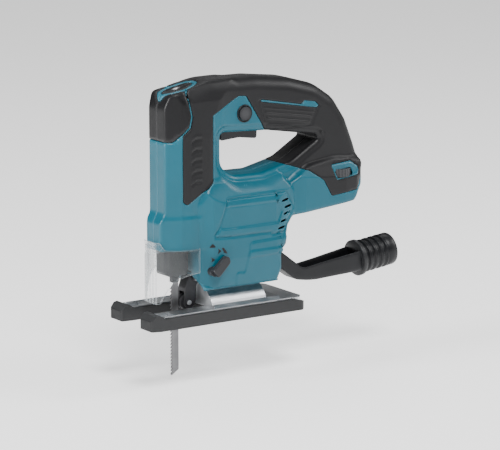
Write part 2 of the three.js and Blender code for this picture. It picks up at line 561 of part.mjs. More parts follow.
// Change lever on the left side, on a shaft that turns the cam behind the arm.
const leverBar = [[-2.4, -4.2, 2], [14, -3.4, 3], [16.5, 1, 2.5], [14, 4.2, 3], [-2.4, 4.2, 2]];
const leverTurn = moved(sidePlate(leverBar, -5.5, -0.6, { bevel: 0.8 })
  .rotate([0, -LEVER.angle, 0]), LEVER.x, -BODY_HALF + 0.6, LEVER.z);
add("orbit_lever", join(leverTurn, alongY(4, -BODY_HALF - 1, -19, LEVER.x, LEVER.z)), "dark");

// ---- tool opener shroud, cover and lamp -----------------------------------------------------
const shroudPlan = [[-47.5, -6, 2], [-44, -9.5, 2], [-25.6, -9.5, 2], [-25.6, 9.5, 2], [-44, 9.5, 2],
  [-47.5, 6, 2]];
const shroudSide = [[-48, 41, 1], [-44.5, SHROUD.bottom, 1], [-29, SHROUD.bottom, 1], [-25, 41, 1],
  [-25, SHROUD.top + 3, 1], [-48, SHROUD.top + 3, 1]];
add("blade_shroud", cut(planPlate(shroudPlan, SHROUD.bottom - 3, SHROUD.top)
  .intersect(sidePlate(shroudSide, -20, 20)),
  alongZ(CLAMP.r + 0.8, 0, BUSH_LOW.bottom - GAP, BLADE_X, 0), alongZ(BUSH_R + GAP, 30, 90, BLADE_X, 0)),
  "dark");

const coverPlan = (grow) => [[COVER.front - grow, -9 - grow, 3], [-45, -18 - grow, 4],
  [-36, -COVER.half - grow, 3], [COVER.rear, -COVER.half - grow, 0.5], [COVER.rear, COVER.half + grow, 0.5],
  [-36, COVER.half + grow, 3], [-45, 18 + grow, 4], [COVER.front - grow, 9 + grow, 3]];
const coverSide = [[COVER.front - 4, 16, 1], [-54.4, 16, 1], [-51.5, 26, 5], [-46, 34, 5], [-40, 38, 4],
  [COVER.rear + 0.5, 41, 2], [COVER.rear + 0.5, NOSE_BOTTOM + 1.5, 1], [-51, NOSE_BOTTOM + 1.5, 1],
  [-55, COVER.top, 2], [COVER.front - 4, COVER.top, 1]];
const coverRibs = [-6, -3, 0, 3, 6].map((y) =>
  box(COVER.front - COVER.wall - 0.9, COVER.front - COVER.wall + 0.2, y - 0.6, y + 0.6, 58, COVER.top - 1));
add("dust_cover", join(cut(planPlate(coverPlan(COVER.wall), 15, COVER.top),
  planPlate(coverPlan(0), 0, 90), box(COVER.rear - 2, 60, -60, 60, 0, 90))
  .intersect(sidePlate(coverSide, -40, 40)), ...coverRibs), "clear");
add("lamp_lens", box(-52.2, -49, -3.5, 3.5, 57.2, NOSE_BOTTOM - GAP), "clear");

// ---- shoe ----------------------------------------------------------------------------------
const halfL = SHOE_LENGTH / 2;
const halfW = SHOE_WIDTH / 2;
function shoeOutline(inset) {
  const rim = halfW - inset;
  const nose = -halfL + inset;
  const tail = halfL - inset;
  const slot = SLOT_HALF + inset;
  const right = [[nose, slot + 1.5, 1.5], [nose, rim - 2.5, 1.5], [nose + 8, rim, 4],
    [tail - 5, rim, 4], [tail, rim - 6, 4]];
  const inner = [[SLOT_END + inset, slot, 4], [nose + 10, slot, 3]];
  const mirror = ([x, y, r]) => [x, -y, r];
  return [...inner, ...right, ...[...right].reverse().map(mirror), ...[...inner].reverse().map(mirror)];
}
const boltRecess = alongZ(BOLT.head + 1.5, -5, 40, BOLT.x, 0, 24);
const trayHeight = [[-halfL, 0, 0.5], [halfL - 1.5, 0, 1], [halfL, 2, 0.5], [halfL, 6, 0.5],
  [halfL - 12, SHOE_RIM, 2], [-halfL + 12, SHOE_RIM, 2], [-halfL + 8, SHOE_RIM + 3, 1.5],
  [-halfL + 4, SHOE_RIM + 2.5, 1.5], [-halfL, SHOE_RIM - 1.5, 1.5]];
const trayInner = planPlate(shoeOutline(RIM_WALL), SOLE_SKIN, 40)
  .subtract(box(-90, -halfL + 10, -50, 50, SOLE_SKIN, 40));
add("cover_plate", cut(planPlate(shoeOutline(0), 0, 30).intersect(sidePlate(trayHeight, -50, 50)),
  trayInner, boltRecess), "black");

const rimInset = RIM_WALL + GAP;
const shoulder = halfW - RIM_WALL - 2.5;
const plateTop = join(box(-80, 80, -40, 40, -5, PLATE_RIM),
  frontPlate([[-shoulder, -5, 0.4], [shoulder, -5, 0.4], [shoulder, PLATE_RIM - 0.2, 0.2],
    [25, 13, 1], [-25, 13, 1], [-shoulder, PLATE_RIM - 0.2, 0.2]], QUADRANT.front, QUADRANT.rear + 12));
const plateBody = planPlate(shoeOutline(rimInset), SOLE_SKIN + GAP, 20).intersect(plateTop)
  .subtract(box(-90, -halfL + 10 + GAP, -50, 50, 0, 40));
const slotCut = (low) => planPlate(shoeOutline(rimInset + 2.4), low, low + 5.4);
const quadrant = tiltRound(TILT_RADIUS, QUADRANT.front, QUADRANT.rear).intersect(join(
  box(SLOT_END + rimInset, QUADRANT.rear, rimInset - halfW, halfW - rimInset, SOLE_SKIN + GAP, 60),
  box(QUADRANT.front, QUADRANT.rear, -40, 40, SHOE_RIM + GAP, 60)));
const quadrantInside = tiltRound(TILT_RADIUS - QUADRANT_WALL, QUADRANT.front + 3, QUADRANT.rear - 3)
  .intersect(box(-60, 60, -40, 40, -1, 60));
const guideSlots = [-1, 1].map((side) =>
  box(-64, -52, Math.min(side * 18, side * 28), Math.max(side * 18, side * 28), 7.5, 20));
const slotRoom = box(-80, SLOT_END, -SLOT_HALF - rimInset, SLOT_HALF + rimInset, 0, 60);
const boltSlot = Array.from({ length: 9 }, (_, i) =>
  alongZ(BOLT.r + 1.2, 10, 40, BOLT.x, 0, 12).rotate([(TILT + 2) * (i / 4 - 1), 0, 0]));
add("base_plate", cut(join(cut(plateBody, slotCut(SOLE_SKIN - 1)), quadrant), quadrantInside,
  slotRoom, ...guideSlots, ...boltSlot), "alloy");

const arc = (outer, inner, x0, x1, half) => cut(tiltRound(outer, x0, x1),
  tiltRound(inner, x0 - 1, x1 + 1)).intersect(box(x0 - 1, x1 + 1, -half, half, 0, 60));
const boltClear = box(BOLT.x - BOLT.r - GAP, BOLT.x + BOLT.r + GAP + SLIDE,
  -BOLT.r - GAP, BOLT.r + GAP, 0, 60);
add("base_saddle", cut(arc(SHOE_SWEEP - GAP, TILT_RADIUS + GAP, SADDLE.front, SADDLE.rear, SADDLE_HALF),
  boltClear), "alloy");
const clampOuter = TILT_RADIUS - QUADRANT_WALL - GAP;
add("clamp_plate", cut(arc(clampOuter, clampOuter - 3.5, BOLT.x - 9, BOLT.x + 9, 9),
  alongZ(BOLT.r + GAP, 0, 60, BOLT.x, 0)), "steel");
add("clamp_bolt", cut(join(alongZ(BOLT.r, 14, 34.5, BOLT.x, 0, 16),
  alongZ(BOLT.head, 14, clampOuter - 3.5 - 0.6, BOLT.x, 0, 20)),
  alongZ(2.4, 10, 17.5, BOLT.x, 0, 6)), "steel");

// ---- dust nozzle ------------------------------------------------------------------------------
function nozzleDuct(grow) {
  const half = NOZZLE_ROOT.half + grow;
  const side = [[46, NOZZLE_ROOT.bottom - grow, 1], [60, NOZZLE_ROOT.bottom - 3 - grow, 6],
    [92, 15 - grow, 16], [104, 14.5 - grow, 10], [150, 16 - grow, 2], [150, 39 + grow, 2],
    [104, 28.5 + grow, 12], [92, 30 + grow, 14], [58, NOZZLE_ROOT.top + grow, 6],
    [46, NOZZLE_ROOT.top + grow, 1]];
  const plan = [[40, -half, 1], [110, -half, 10], [150, -half - 2.5, 4], [150, half + 2.5, 4],
    [110, half, 10], [40, half, 1]];
  return sidePlate(side, -30, 30).intersect(planPlate(plan, 0, 70));
}
const spigotTurn = (profile) => solid(turned(profile, 22).rotateZ(-Math.PI / 2)
  .rotateY(-SPIGOT.slope).translate(SPIGOT.x, 0, SPIGOT.z));
const grooves = [9, 16.5, 24].flatMap((at) => [[SPIGOT.r, at - 1.6], [SPIGOT.r - 1.4, at - 1.2],
  [SPIGOT.r - 1.4, at + 1.2], [SPIGOT.r, at + 1.6]]);
const nozzleOut = join(nozzleDuct(0), spigotTurn([[0, -2], [SPIGOT.r + 1.5, 0], [SPIGOT.r + 1.5, 4.5],
  [SPIGOT.r, 5], ...grooves, [SPIGOT.r, SPIGOT.length - 1.5], [SPIGOT.r - 1.5, SPIGOT.length],
  [0, SPIGOT.length]]));
add("dust_nozzle", cut(nozzleOut, nozzleDuct(-2).subtract(box(145.5, 160, -40, 40, 0, 80)),
  box(30, 50, -NOZZLE_ROOT.half + 2, NOZZLE_ROOT.half - 2, NOZZLE_ROOT.bottom + 2, NOZZLE_ROOT.top - 2),
  spigotTurn([[0, -6], [8, -6], [SPIGOT.r - 3, 3], [SPIGOT.r - 3, SPIGOT.length + 5],
    [0, SPIGOT.length + 5]])),
  "black");

// ---- controls and electrics --------------------------------------------------------------------
const triggerSide = [[TRIGGER.front, TRIGGER.bottom + 1, 2], [25, TRIGGER.bottom + 2.4, 20],
  [TRIGGER.rear - 0.5, TRIGGER.bottom, 2], [TRIGGER.rear, 158, 1], [TRIGGER.front, 158, 1]];
add("trigger", cut(sidePlate(triggerSide, -TRIGGER.half + 0.5, TRIGGER.half - 0.5, { bevel: 0.8 }),
  alongZ(4.4, 148, 170, 25, 0)), "dark");
add("trigger_spring", moved(wire(helix(3, 0, 19.4, 7), 0.5, 3, 56), 25, 0, 149.1), "steel");
add("switch_body", box(8, 50, -7, 7, 169, 186), "dark");
add("lock_button", join(alongY(LOCK.r, -HANDLE_HALF - 1.6, -12.5, LOCK.x, LOCK.z, 24),
  alongY(LOCK.r + 0.7, -13.2, -11.5, LOCK.x, LOCK.z, 24)), "dark");
const knurls = Array.from({ length: 24 }, (_, i) => alongZ(0.5, 0, 20, DIAL.r + 0.1, 0, 6)
  .rotate([0, 0, (360 / 24) * i]).translate([DIAL.x, DIAL_Y, DIAL.z - 10]));
add("speed_dial", cut(alongZ(DIAL.r, DIAL.z - DIAL.half, DIAL.z + DIAL.half, DIAL.x, DIAL_Y, 48),
  ...knurls), "dark");
add("controller_board", box(78, 104, -20, 20, 96, 101), "board");
add("terminal_block", join(box(84, 112, -11, 11, POCKET.ceiling - 6, POCKET.ceiling - GAP),
  ...[-7, 0, 7].map((y) =>
    box(88, 104, y - 0.5, y + 0.5, POCKET.ceiling - 9.5, POCKET.ceiling - 5))), "dark");

export default group;
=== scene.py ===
"""Cordless jigsaw with a closed D handle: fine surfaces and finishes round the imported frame.

Metres in the scene; the sizes held here are millimetres and are multiplied by MM as a mesh is made.
+X is the rear, -Y the tool's left side, +Z up, and the origin is the centre of the shoe's sole.
"""

import logging
from dataclasses import dataclass
from enum import Enum
from typing import Callable

import bpy
import numpy as np
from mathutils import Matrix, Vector


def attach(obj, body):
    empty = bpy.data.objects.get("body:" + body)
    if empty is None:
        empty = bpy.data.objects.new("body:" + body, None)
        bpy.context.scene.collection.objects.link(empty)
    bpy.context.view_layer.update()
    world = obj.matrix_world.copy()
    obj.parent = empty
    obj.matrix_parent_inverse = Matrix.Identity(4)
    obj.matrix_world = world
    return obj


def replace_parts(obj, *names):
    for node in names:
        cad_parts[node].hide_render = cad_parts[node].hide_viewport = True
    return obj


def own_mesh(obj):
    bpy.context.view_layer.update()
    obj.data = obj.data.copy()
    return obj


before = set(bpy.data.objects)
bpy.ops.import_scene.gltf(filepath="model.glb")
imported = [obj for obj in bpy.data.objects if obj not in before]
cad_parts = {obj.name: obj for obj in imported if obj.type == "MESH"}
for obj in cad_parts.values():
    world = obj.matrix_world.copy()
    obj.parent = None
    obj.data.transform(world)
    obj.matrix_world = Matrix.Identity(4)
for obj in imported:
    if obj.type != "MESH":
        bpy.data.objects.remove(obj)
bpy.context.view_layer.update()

log = logging.getLogger("jigsaw")
Array = np.ndarray
Corners = tuple[tuple[float, float, float], ...]
Knots = tuple[tuple[float, float], ...]
Colour = tuple[float, float, float]

MM = 0.001
LEFT = -1
RIGHT = 1
ALONG, UP = 0, 2
ACROSS = 1
FAR_INSIDE = 50.0


# ---- outlines and distances ------------------------------------------------------------------
def rounded(corners: Corners, steps: int = 5) -> Array:
    """A closed outline whose corners are arcs tangent to both of their sides.

    An arc's centre lies on the corner's bisector at radius / sin(half the corner's angle), and
    the arc runs between the two points at radius / tan(half the angle) from the corner.

    Args:
        corners: (across, up, radius) of each corner, in order.
        steps: points on each arc.

    Returns:
        The outline's points, (n, 2).
    """
    table = np.array(corners, float)
    at, radius = table[:, :2], table[:, 2]
    back = np.roll(at, 1, 0) - at
    ahead = np.roll(at, -1, 0) - at
    room = 0.45 * np.minimum(np.linalg.norm(back, axis=1), np.linalg.norm(ahead, axis=1))
    back = back / np.linalg.norm(back, axis=1)[:, None]
    ahead = ahead / np.linalg.norm(ahead, axis=1)[:, None]
    half = 0.5 * np.arccos(np.clip((back * ahead).sum(1), -1, 1))
    reach = np.minimum(radius / np.tan(half), room)
    radius = reach * np.tan(half)
    inward = back + ahead
    inward = inward / np.maximum(np.linalg.norm(inward, axis=1), 1e-9)[:, None]
    centre = at + inward * (radius / np.sin(half))[:, None]
    first = at + back * reach[:, None] - centre
    last = at + ahead * reach[:, None] - centre
    start = np.arctan2(first[:, 1], first[:, 0])
    sweep = (np.arctan2(last[:, 1], last[:, 0]) - start + np.pi) % (2 * np.pi) - np.pi
    angle = start[:, None] + sweep[:, None] * np.linspace(0, 1, steps)
    ring = np.stack([np.cos(angle), np.sin(angle)], -1) * radius[:, None, None]
    return (centre[:, None] + ring).reshape(-1, 2)


def spaced(outline: Array, weights: Callable[[Array], Array], count: int) -> Array:
    """Points round a closed outline, closer together where the weight is high.

    The running sum of step length times weight is split into equal shares.
    """
    closed = np.vstack([outline, outline[:1]])
    steps = np.linalg.norm(np.diff(closed, axis=0), axis=1)
    fine = np.concatenate([[0], np.cumsum(steps)])
    dense = np.linspace(0, fine[-1], 6000)
    route = np.stack([np.interp(dense, fine, closed[:, k]) for k in (0, 1)], -1)
    density = weights(route)
    share = np.concatenate([[0], np.cumsum(0.5 * (density[1:] + density[:-1]))])
    wanted = np.linspace(0, share[-1], count, endpoint=False)
    at = np.interp(wanted, share, dense)
    return np.stack([np.interp(at, fine, closed[:, k]) for k in (0, 1)], -1)


def inside(points: Array, outline: Array) -> Array:
    """Distance from each point to a closed outline, positive inside it and negative outside.

    The distance is the least one to any side; a point is inside where a ray to the right crosses
    the outline an odd number of times.

    Args:
        points: (n, 2) places.
        outline: (m, 2) closed outline.

    Returns:
        (n,) signed distances.
    """
    a, b = outline, np.roll(outline, -1, 0)
    along = b - a
    length2 = np.maximum((along**2).sum(1), 1e-12)
    rise = np.where(np.abs(along[:, 1]) < 1e-12, 1e-12, along[:, 1])
    blocks = []
    for block in np.array_split(points, max(1, len(points) // 4000)):
        gap = block[:, None] - a
        share = np.clip((gap * along).sum(-1) / length2, 0, 1)
        near = np.linalg.norm(gap - share[..., None] * along, axis=-1).min(1)
        x, y = block[:, :1], block[:, 1:]
        straddles = (a[:, 1] > y) != (b[:, 1] > y)
        right_of = x < a[:, 0] + (y - a[:, 1]) * along[:, 0] / rise
        odd = (straddles & right_of).sum(1) % 2 == 1
        blocks.append(np.where(odd, near, -near))
    return np.concatenate(blocks)


def smooth_step(value: Array) -> Array:
    """0 below 0, 1 above 1, and 3v^2 - 2v^3 between."""
    v = np.clip(value, 0, 1)
    return v * v * (3 - 2 * v)


def smooth_max(a: Array, b: Array, blend: float) -> Array:
    """The larger of two heights, with a fillet of about that size where they cross."""
    share = np.maximum(blend - np.abs(a - b), 0) / blend
    return np.maximum(a, b) + share * share * blend / 4


# ---- triangle skins --------------------------------------------------------------------------
@dataclass
class Skin:
    """A triangle surface with the outward direction at each of its points.

    Attributes:
        data: (n, 6) places in millimetres, then unit directions.
        faces: (m, 3) corner numbers.
    """

    data: Array
    faces: Array

    @property
    def at(self) -> Array:
        """The places, (n, 3)."""
        return self.data[:, :3]

    @property
    def side(self) -> Array:
        """The places seen from the side, (n, 2)."""
        return self.data[:, [0, 2]]

    @staticmethod
    def grid(points: Array, closed: bool = False) -> "Skin":
        """A skin from rows and columns of points.

        A point's direction is the cross product of the surface's slopes along its two parameters.

        Args:
            points: (rows, columns, 3) places.
            closed: whether the last column joins the first.

        Returns:
            The skin.
        """
        rows, columns = points.shape[:2]
        wrapped = np.concatenate([points[:, -1:], points, points[:, :1]], 1) if closed else points
        along = np.gradient(wrapped, axis=1)
        along = along[:, 1:-1] if closed else along
        normal = np.cross(np.gradient(points, axis=0), along)
        normal /= np.maximum(np.linalg.norm(normal, axis=-1, keepdims=True), 1e-9)
        number = np.arange(rows * columns).reshape(rows, columns)
        number = np.hstack([number, number[:, :1]]) if closed else number
        a, b = number[:-1, :-1].ravel(), number[:-1, 1:].ravel()
        c, d = number[1:, 1:].ravel(), number[1:, :-1].ravel()
        faces = np.vstack([np.stack([a, d, c], -1), np.stack([a, c, b], -1)])
        return Skin(np.concatenate([points, normal], -1).reshape(-1, 6), faces)

    def trimmed(self, keep: Array) -> "Skin":
        """The part of the skin where keep is positive, cut cleanly along its zero line.

        A cut side's new point lies at the share keep_a / (keep_a - keep_b) of the way along it.

        Args:
            keep: (n,) value at each point.

        Returns:
            The trimmed skin.
        """
        within = keep >= 0
        count = within[self.faces].sum(1)
        turn = np.arange(3)
        one = self.faces[count == 1]
        one = np.take_along_axis(one, (within[one].argmax(1)[:, None] + turn) % 3, 1)
        two = self.faces[count == 2]
        two = np.take_along_axis(two, (within[two].argmin(1)[:, None] + turn) % 3, 1)
        pairs = np.vstack([one[:, [0, 1]], one[:, [0, 2]], two[:, [0, 1]], two[:, [0, 2]]])
        sides, place = np.unique(np.sort(pairs, 1), axis=0, return_inverse=True)
        place = place.reshape(-1) + len(self.data)
        first, second = keep[sides[:, 0]], keep[sides[:, 1]]
        share = (first / (first - second))[:, None]
        added = self.data[sides[:, 0]] * (1 - share) + self.data[sides[:, 1]] * share
        ab, ac = place[: len(one)], place[len(one) : 2 * len(one)]
        ob, oc = place[2 * len(one) : 2 * len(one) + len(two)], place[2 * len(one) + len(two) :]
        faces = np.vstack([
            self.faces[count == 3],
            np.stack([one[:, 0], ab, ac], -1),
            np.stack([two[:, 1], two[:, 2], oc], -1),
            np.stack([two[:, 1], oc, ob], -1),
        ])
        used, faces = np.unique(faces, return_inverse=True)
        return Skin(np.vstack([self.data, added])[used], faces.reshape(-1, 3))

    def swelled(self, distance: Array) -> "Skin":
        """The skin moved outwards by a distance at each point."""
        moved = self.data.copy()
        moved[:, :3] += moved[:, 3:] * np.asarray(distance).reshape(-1, 1)
        return Skin(moved, self.faces)

    def flipped(self) -> "Skin":
        """The same places facing the other way."""
        return Skin(self.data * [1, 1, 1, -1, -1, -1], self.faces[:, ::-1])

    def facing(self, axis: int, sign: int) -> "Skin":
        """The skin turned, if need be, so that its directions lean along an axis with that sign."""
        return self if self.data[:, 3 + axis].mean() * sign > 0 else self.flipped()

    def welded(self) -> "Skin":
        """A closed skin without doubled points or collapsed faces, facing outwards.

        It faces outwards when its volume, a sixth of the sum of a . (b x c), is positive.
        """
        _, kept, number = np.unique(np.round(self.at, 4), axis=0, return_index=True, return_inverse=True)
        faces = number.reshape(-1)[self.faces]
        faces = faces[(faces != np.roll(faces, 1, 1)).all(1)]
        skin = Skin(self.data[kept], faces)
        a, b, c = (skin.at[faces[:, k]] for k in range(3))
        return skin if (a * np.cross(b, c)).sum() >= 0 else skin.flipped()

    def mirrored(self) -> "Skin":
        """The same skin on the tool's other side, still facing outwards."""
        flipped = self.data.copy()
        flipped[:, [1, 4]] *= -1
        return Skin(flipped, self.faces[:, ::-1])

    def joined(self, *others: "Skin") -> "Skin":
        """One skin holding this one and the others."""
        skins = [self, *others]
        starts = np.cumsum([0] + [len(s.data) for s in skins[:-1]])
        faces = [s.faces + start for s, start in zip(skins, starts)]
        return Skin(np.vstack([s.data for s in skins]), np.vstack(faces))


def make_piece(name: str, skin: Skin, body: str, finish: "Finish", wall: float = 0.0) -> bpy.types.Object:
    """A named object from a skin, with its finish, riding on a body.

    Args:
        name: the piece's name.
        skin: its surface, in millimetres.
        body: the body that it moves with.
        finish: its finish.
        wall: thickness added inwards, in millimetres, or 0 for a skin that is already closed.

    Returns:
        The object.
    """
    mesh = bpy.data.meshes.new(name)
    faces = skin.faces.astype(np.int32)
    mesh.vertices.add(len(skin.data))
    mesh.vertices.foreach_set("co", (skin.at * MM).astype(np.float32).ravel())
    mesh.loops.add(faces.size)
    mesh.loops.foreach_set("vertex_index", faces.ravel())
    mesh.polygons.add(len(faces))
    mesh.polygons.foreach_set("loop_start", np.arange(0, faces.size, 3, dtype=np.int32))
    mesh.polygons.foreach_set("use_smooth", np.ones(len(faces), bool))
    mesh.update(calc_edges=True)
    mesh.validate()
    piece = bpy.data.objects.new(name, mesh)
    bpy.context.scene.collection.objects.link(piece)
    if wall:
        solidify = piece.modifiers.new("wall", "SOLIDIFY")
        solidify.thickness = wall * MM
        solidify.offset = -1
    mesh.materials.append(finish.material())
    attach(piece, body)
    log.info("%s: %d triangles", name, len(faces))
    return piece


# ---- finishes --------------------------------------------------------------------------------
class Slot(Enum):
    """Names of the material slots."""

    TEAL = "teal_plastic"
    RUBBER = "grip_rubber"
    BLACK = "black_plastic"
    DARK = "dark_plastic"
    STEEL = "steel"
    BLADE = "blade_steel"
    ALLOY = "alloy"
    BRONZE = "bronze"
    CORE = "core_steel"
    BOARD = "circuit_board"
    CLEAR = "clear_plastic"


class Nodes:
    """Adds shader nodes to one material."""

    def __init__(self, name: str) -> None:
        """Start a material with a Principled shader.

        Args:
            name: the material's name.
        """
        self.made = bpy.data.materials.new(name)
        self.made.use_nodes = True
        self.tree = self.made.node_tree
        self.shader = self.tree.nodes["Principled BSDF"]

    def add(self, kind: str, **inputs: object) -> bpy.types.Node:
        """Add a node and set or link its inputs.

        Args:
            kind: the node's type name without the ShaderNode prefix.
            inputs: input names with _ for spaces, each with a value or a socket to link from.

        Returns:
            The node.
        """
        node = self.tree.nodes.new("ShaderNode" + kind)
        for name, value in inputs.items():
            self.set(node.inputs[name.replace("_", " ")], value)
        return node

    def set(self, socket: bpy.types.NodeSocket, value: object) -> None:
        """Give a socket a value, or link it from another socket."""
        if isinstance(value, bpy.types.NodeSocket):
            self.tree.links.new(value, socket)
        else:
            socket.default_value = value

    def place(self, stretch: tuple[float, float, float] = (1, 1, 1)) -> bpy.types.NodeSocket:
        """Object coordinates, stretched along each axis."""
        here = self.add("TexCoord").outputs["Object"]
        return self.add("Mapping", Vector=here, Scale=stretch).outputs["Vector"]

    def noise(self, scale: float, detail: float = 4,
              at: bpy.types.NodeSocket | None = None) -> bpy.types.NodeSocket:
        """Smooth noise of about 1 / scale metres."""
        at = at or self.place()
        return self.add("TexNoise", Vector=at, Scale=scale, Detail=detail).outputs["Fac"]

    def span(self, value: bpy.types.NodeSocket, low: float, high: float,
             start: float = 0.3, end: float = 0.7) -> bpy.types.NodeSocket:
        """A value from start to end taken to the range low to high."""
        node = self.add("MapRange", Value=value)
        for name, number in (("From Min", start), ("From Max", end), ("To Min", low), ("To Max", high)):
            node.inputs[name].default_value = number
        return node.outputs["Result"]

    def blend(self, share: bpy.types.NodeSocket, a: object, b: object) -> bpy.types.NodeSocket:
        """Colour a where the share is 0 and b where it is 1."""
        node = self.tree.nodes.new("ShaderNodeMix")
        node.data_type = "RGBA"
        self.set(node.inputs["Factor"], share)
        self.set([s for s in node.inputs if s.name == "A" and s.type == "RGBA"][0], a)
        self.set([s for s in node.inputs if s.name == "B" and s.type == "RGBA"][0], b)
        return [s for s in node.outputs if s.type == "RGBA"][0]

    def bump(self, height: bpy.types.NodeSocket, depth: float, strength: float = 1.0,
             under: bpy.types.NodeSocket | None = None) -> bpy.types.NodeSocket:
        """A normal from a height of that many metres."""
        node = self.add("Bump", Height=height, Distance=depth, Strength=strength)
        if under:
            self.set(node.inputs["Normal"], under)
        return node.outputs["Normal"]

    def softened(self, radius: float) -> bpy.types.NodeSocket:
        """A normal that rounds every edge by a radius in metres."""
        node = self.add("Bevel", Radius=radius)
        node.samples = 4
        return node.outputs["Normal"]

    def painted_edge_highlight(self, low: float = 0.52, high: float = 0.6) -> bpy.types.NodeSocket:
        """How far a point stands out as an edge, 0 on flats and 1 on sharp ridges: the mask of a painted
        highlight along edges.
        """
        edge = self.add("NewGeometry").outputs["Pointiness"]
        return self.span(edge, 0, 1, low, high)


def shade(colour: Colour, factor: float) -> tuple[float, float, float, float]:
    """A colour made lighter or darker by a factor."""
    return (*[min(1.0, c * factor) for c in colour], 1.0)


@dataclass(frozen=True)
class Finish:
    """A finish that is made once and shared by its pieces."""

    name: str
    slot: Slot
    colour: Colour
    roughness: float
    soften: float = 0.00035

    def material(self) -> bpy.types.Material:
        """The finish's material, made at its first use."""
        return bpy.data.materials.get(self.name) or self.build()

    def build(self) -> bpy.types.Material:
        """Make the material."""
        raise NotImplementedError


@dataclass(frozen=True)
class Moulded(Finish):
    """Satin moulded nylon: a spark-eroded grain, a slow drift of colour and edges made paler by a painted
    highlight.

    Attributes:
        grain: depth of the grain in metres.
        drift: share by which the colour varies.
    """

    grain: float = 0.00003
    drift: float = 0.08
    specular: float = 0.5

    def build(self) -> bpy.types.Material:
        """Make the material."""
        n = Nodes(self.name)
        slow = n.span(n.noise(22), 0, 1)
        tone = n.blend(slow, shade(self.colour, 1 - self.drift), shade(self.colour, 1 + self.drift))
        fleck = n.span(n.noise(1500, 2), 0, 0.35)
        tone = n.blend(fleck, tone, shade(self.colour, 0.86))
        # painted highlight: sharp edges are made paler
        tone = n.blend(n.painted_edge_highlight(), tone, shade(tuple(0.02 + 1.25 * c for c in self.colour), 1))
        n.set(n.shader.inputs["Base Color"], tone)
        rough = n.span(n.noise(140, 3), self.roughness - 0.05, self.roughness + 0.06)
        n.set(n.shader.inputs["Roughness"], rough)
        n.shader.inputs["Specular IOR Level"].default_value = self.specular
        grain = n.bump(n.noise(2600, 2), self.grain, 0.6, n.softened(self.soften))
        n.set(n.shader.inputs["Normal"], n.bump(n.noise(75, 2), 0.00006, 0.5, grain))
        return n.made


@dataclass(frozen=True)
class Rubber(Finish):
    """Soft overmoulding: matt, finely pebbled, with dust in its pores and shine where it is held."""

    def build(self) -> bpy.types.Material:
        """Make the material."""
        n = Nodes(self.name)
        cells = n.add("TexVoronoi", Vector=n.place(), Scale=1300.0).outputs["Distance"]
        tone = n.blend(n.span(n.noise(30), 0, 1), shade(self.colour, 0.86), shade(self.colour, 1.16))
        tone = n.blend(n.span(n.noise(700, 3), 0, 0.5, 0.55, 0.8), tone, shade(self.colour, 1.7))
        n.set(n.shader.inputs["Base Color"], tone)
        worn = n.span(n.noise(16, 3), self.roughness - 0.1, self.roughness + 0.05)
        n.set(n.shader.inputs["Roughness"], worn)
        n.shader.inputs["Specular IOR Level"].default_value = 0.3
        n.shader.inputs["Sheen Weight"].default_value = 0.04
        n.shader.inputs["Sheen Roughness"].default_value = 0.4
        n.set(n.shader.inputs["Normal"], n.bump(cells, 0.00007, 0.5, n.softened(self.soften)))
        return n.made


@dataclass(frozen=True)
class Metal(Finish):
    """Metal with a worked surface and a painted highlight on its edges.

    Attributes:
        stretch: how the texture is drawn out along each axis, for brushing.
        scale: how fine the texture is.
        depth: its depth in metres.
        metallic: 1 for bare metal.
    """

    stretch: tuple[float, float, float] = (1, 1, 1)
    scale: float = 500
    depth: float = 0.00002
    metallic: float = 1.0

    def build(self) -> bpy.types.Material:
        """Make the material."""
        n = Nodes(self.name)
        lines = n.noise(self.scale, 5, n.place(self.stretch))
        tone = n.blend(n.span(lines, 0, 1), shade(self.colour, 0.84), shade(self.colour, 1.1))
        tone = n.blend(n.span(n.noise(35), 0, 0.5), tone, shade(self.colour, 0.8))
        # painted highlight: sharp edges are made lighter
        tone = n.blend(n.painted_edge_highlight(0.53, 0.62), tone, shade(self.colour, 1.35))
        n.set(n.shader.inputs["Base Color"], tone)
        n.shader.inputs["Metallic"].default_value = self.metallic
        rough = n.span(n.noise(90, 4), self.roughness - 0.07, self.roughness + 0.1)
        n.set(n.shader.inputs["Roughness"], rough)
        n.set(n.shader.inputs["Normal"], n.bump(lines, self.depth, 0.5, n.softened(self.soften)))
        return n.made


@dataclass(frozen=True)
class Clear(Finish):
    """Clear polycarbonate with faint flow marks, denser where it is seen edge on.

    Attributes:
        body: its cover on the flats.
        edge: its cover where it is seen edge on.
    """

    body: float = 0.04
    edge: float = 0.9

    def build(self) -> bpy.types.Material:
        """Make the material."""
        n = Nodes(self.name)
        tone = n.blend(n.span(n.noise(60), 0, 1), shade(self.colour, 0.97), shade(self.colour, 1.03))
        n.set(n.shader.inputs["Base Color"], tone)
        n.set(n.shader.inputs["Roughness"], n.span(n.noise(200, 3), 0.05, self.roughness))
        slant = n.add("LayerWeight", Blend=0.35).outputs["Facing"]
        n.set(n.shader.inputs["Alpha"], n.span(slant, self.body, self.edge, 0.2, 0.85))
        n.shader.inputs["IOR"].default_value = 1.45
        n.set(n.shader.inputs["Normal"], n.bump(n.noise(110, 2), 0.00012, 0.5))
        return n.made


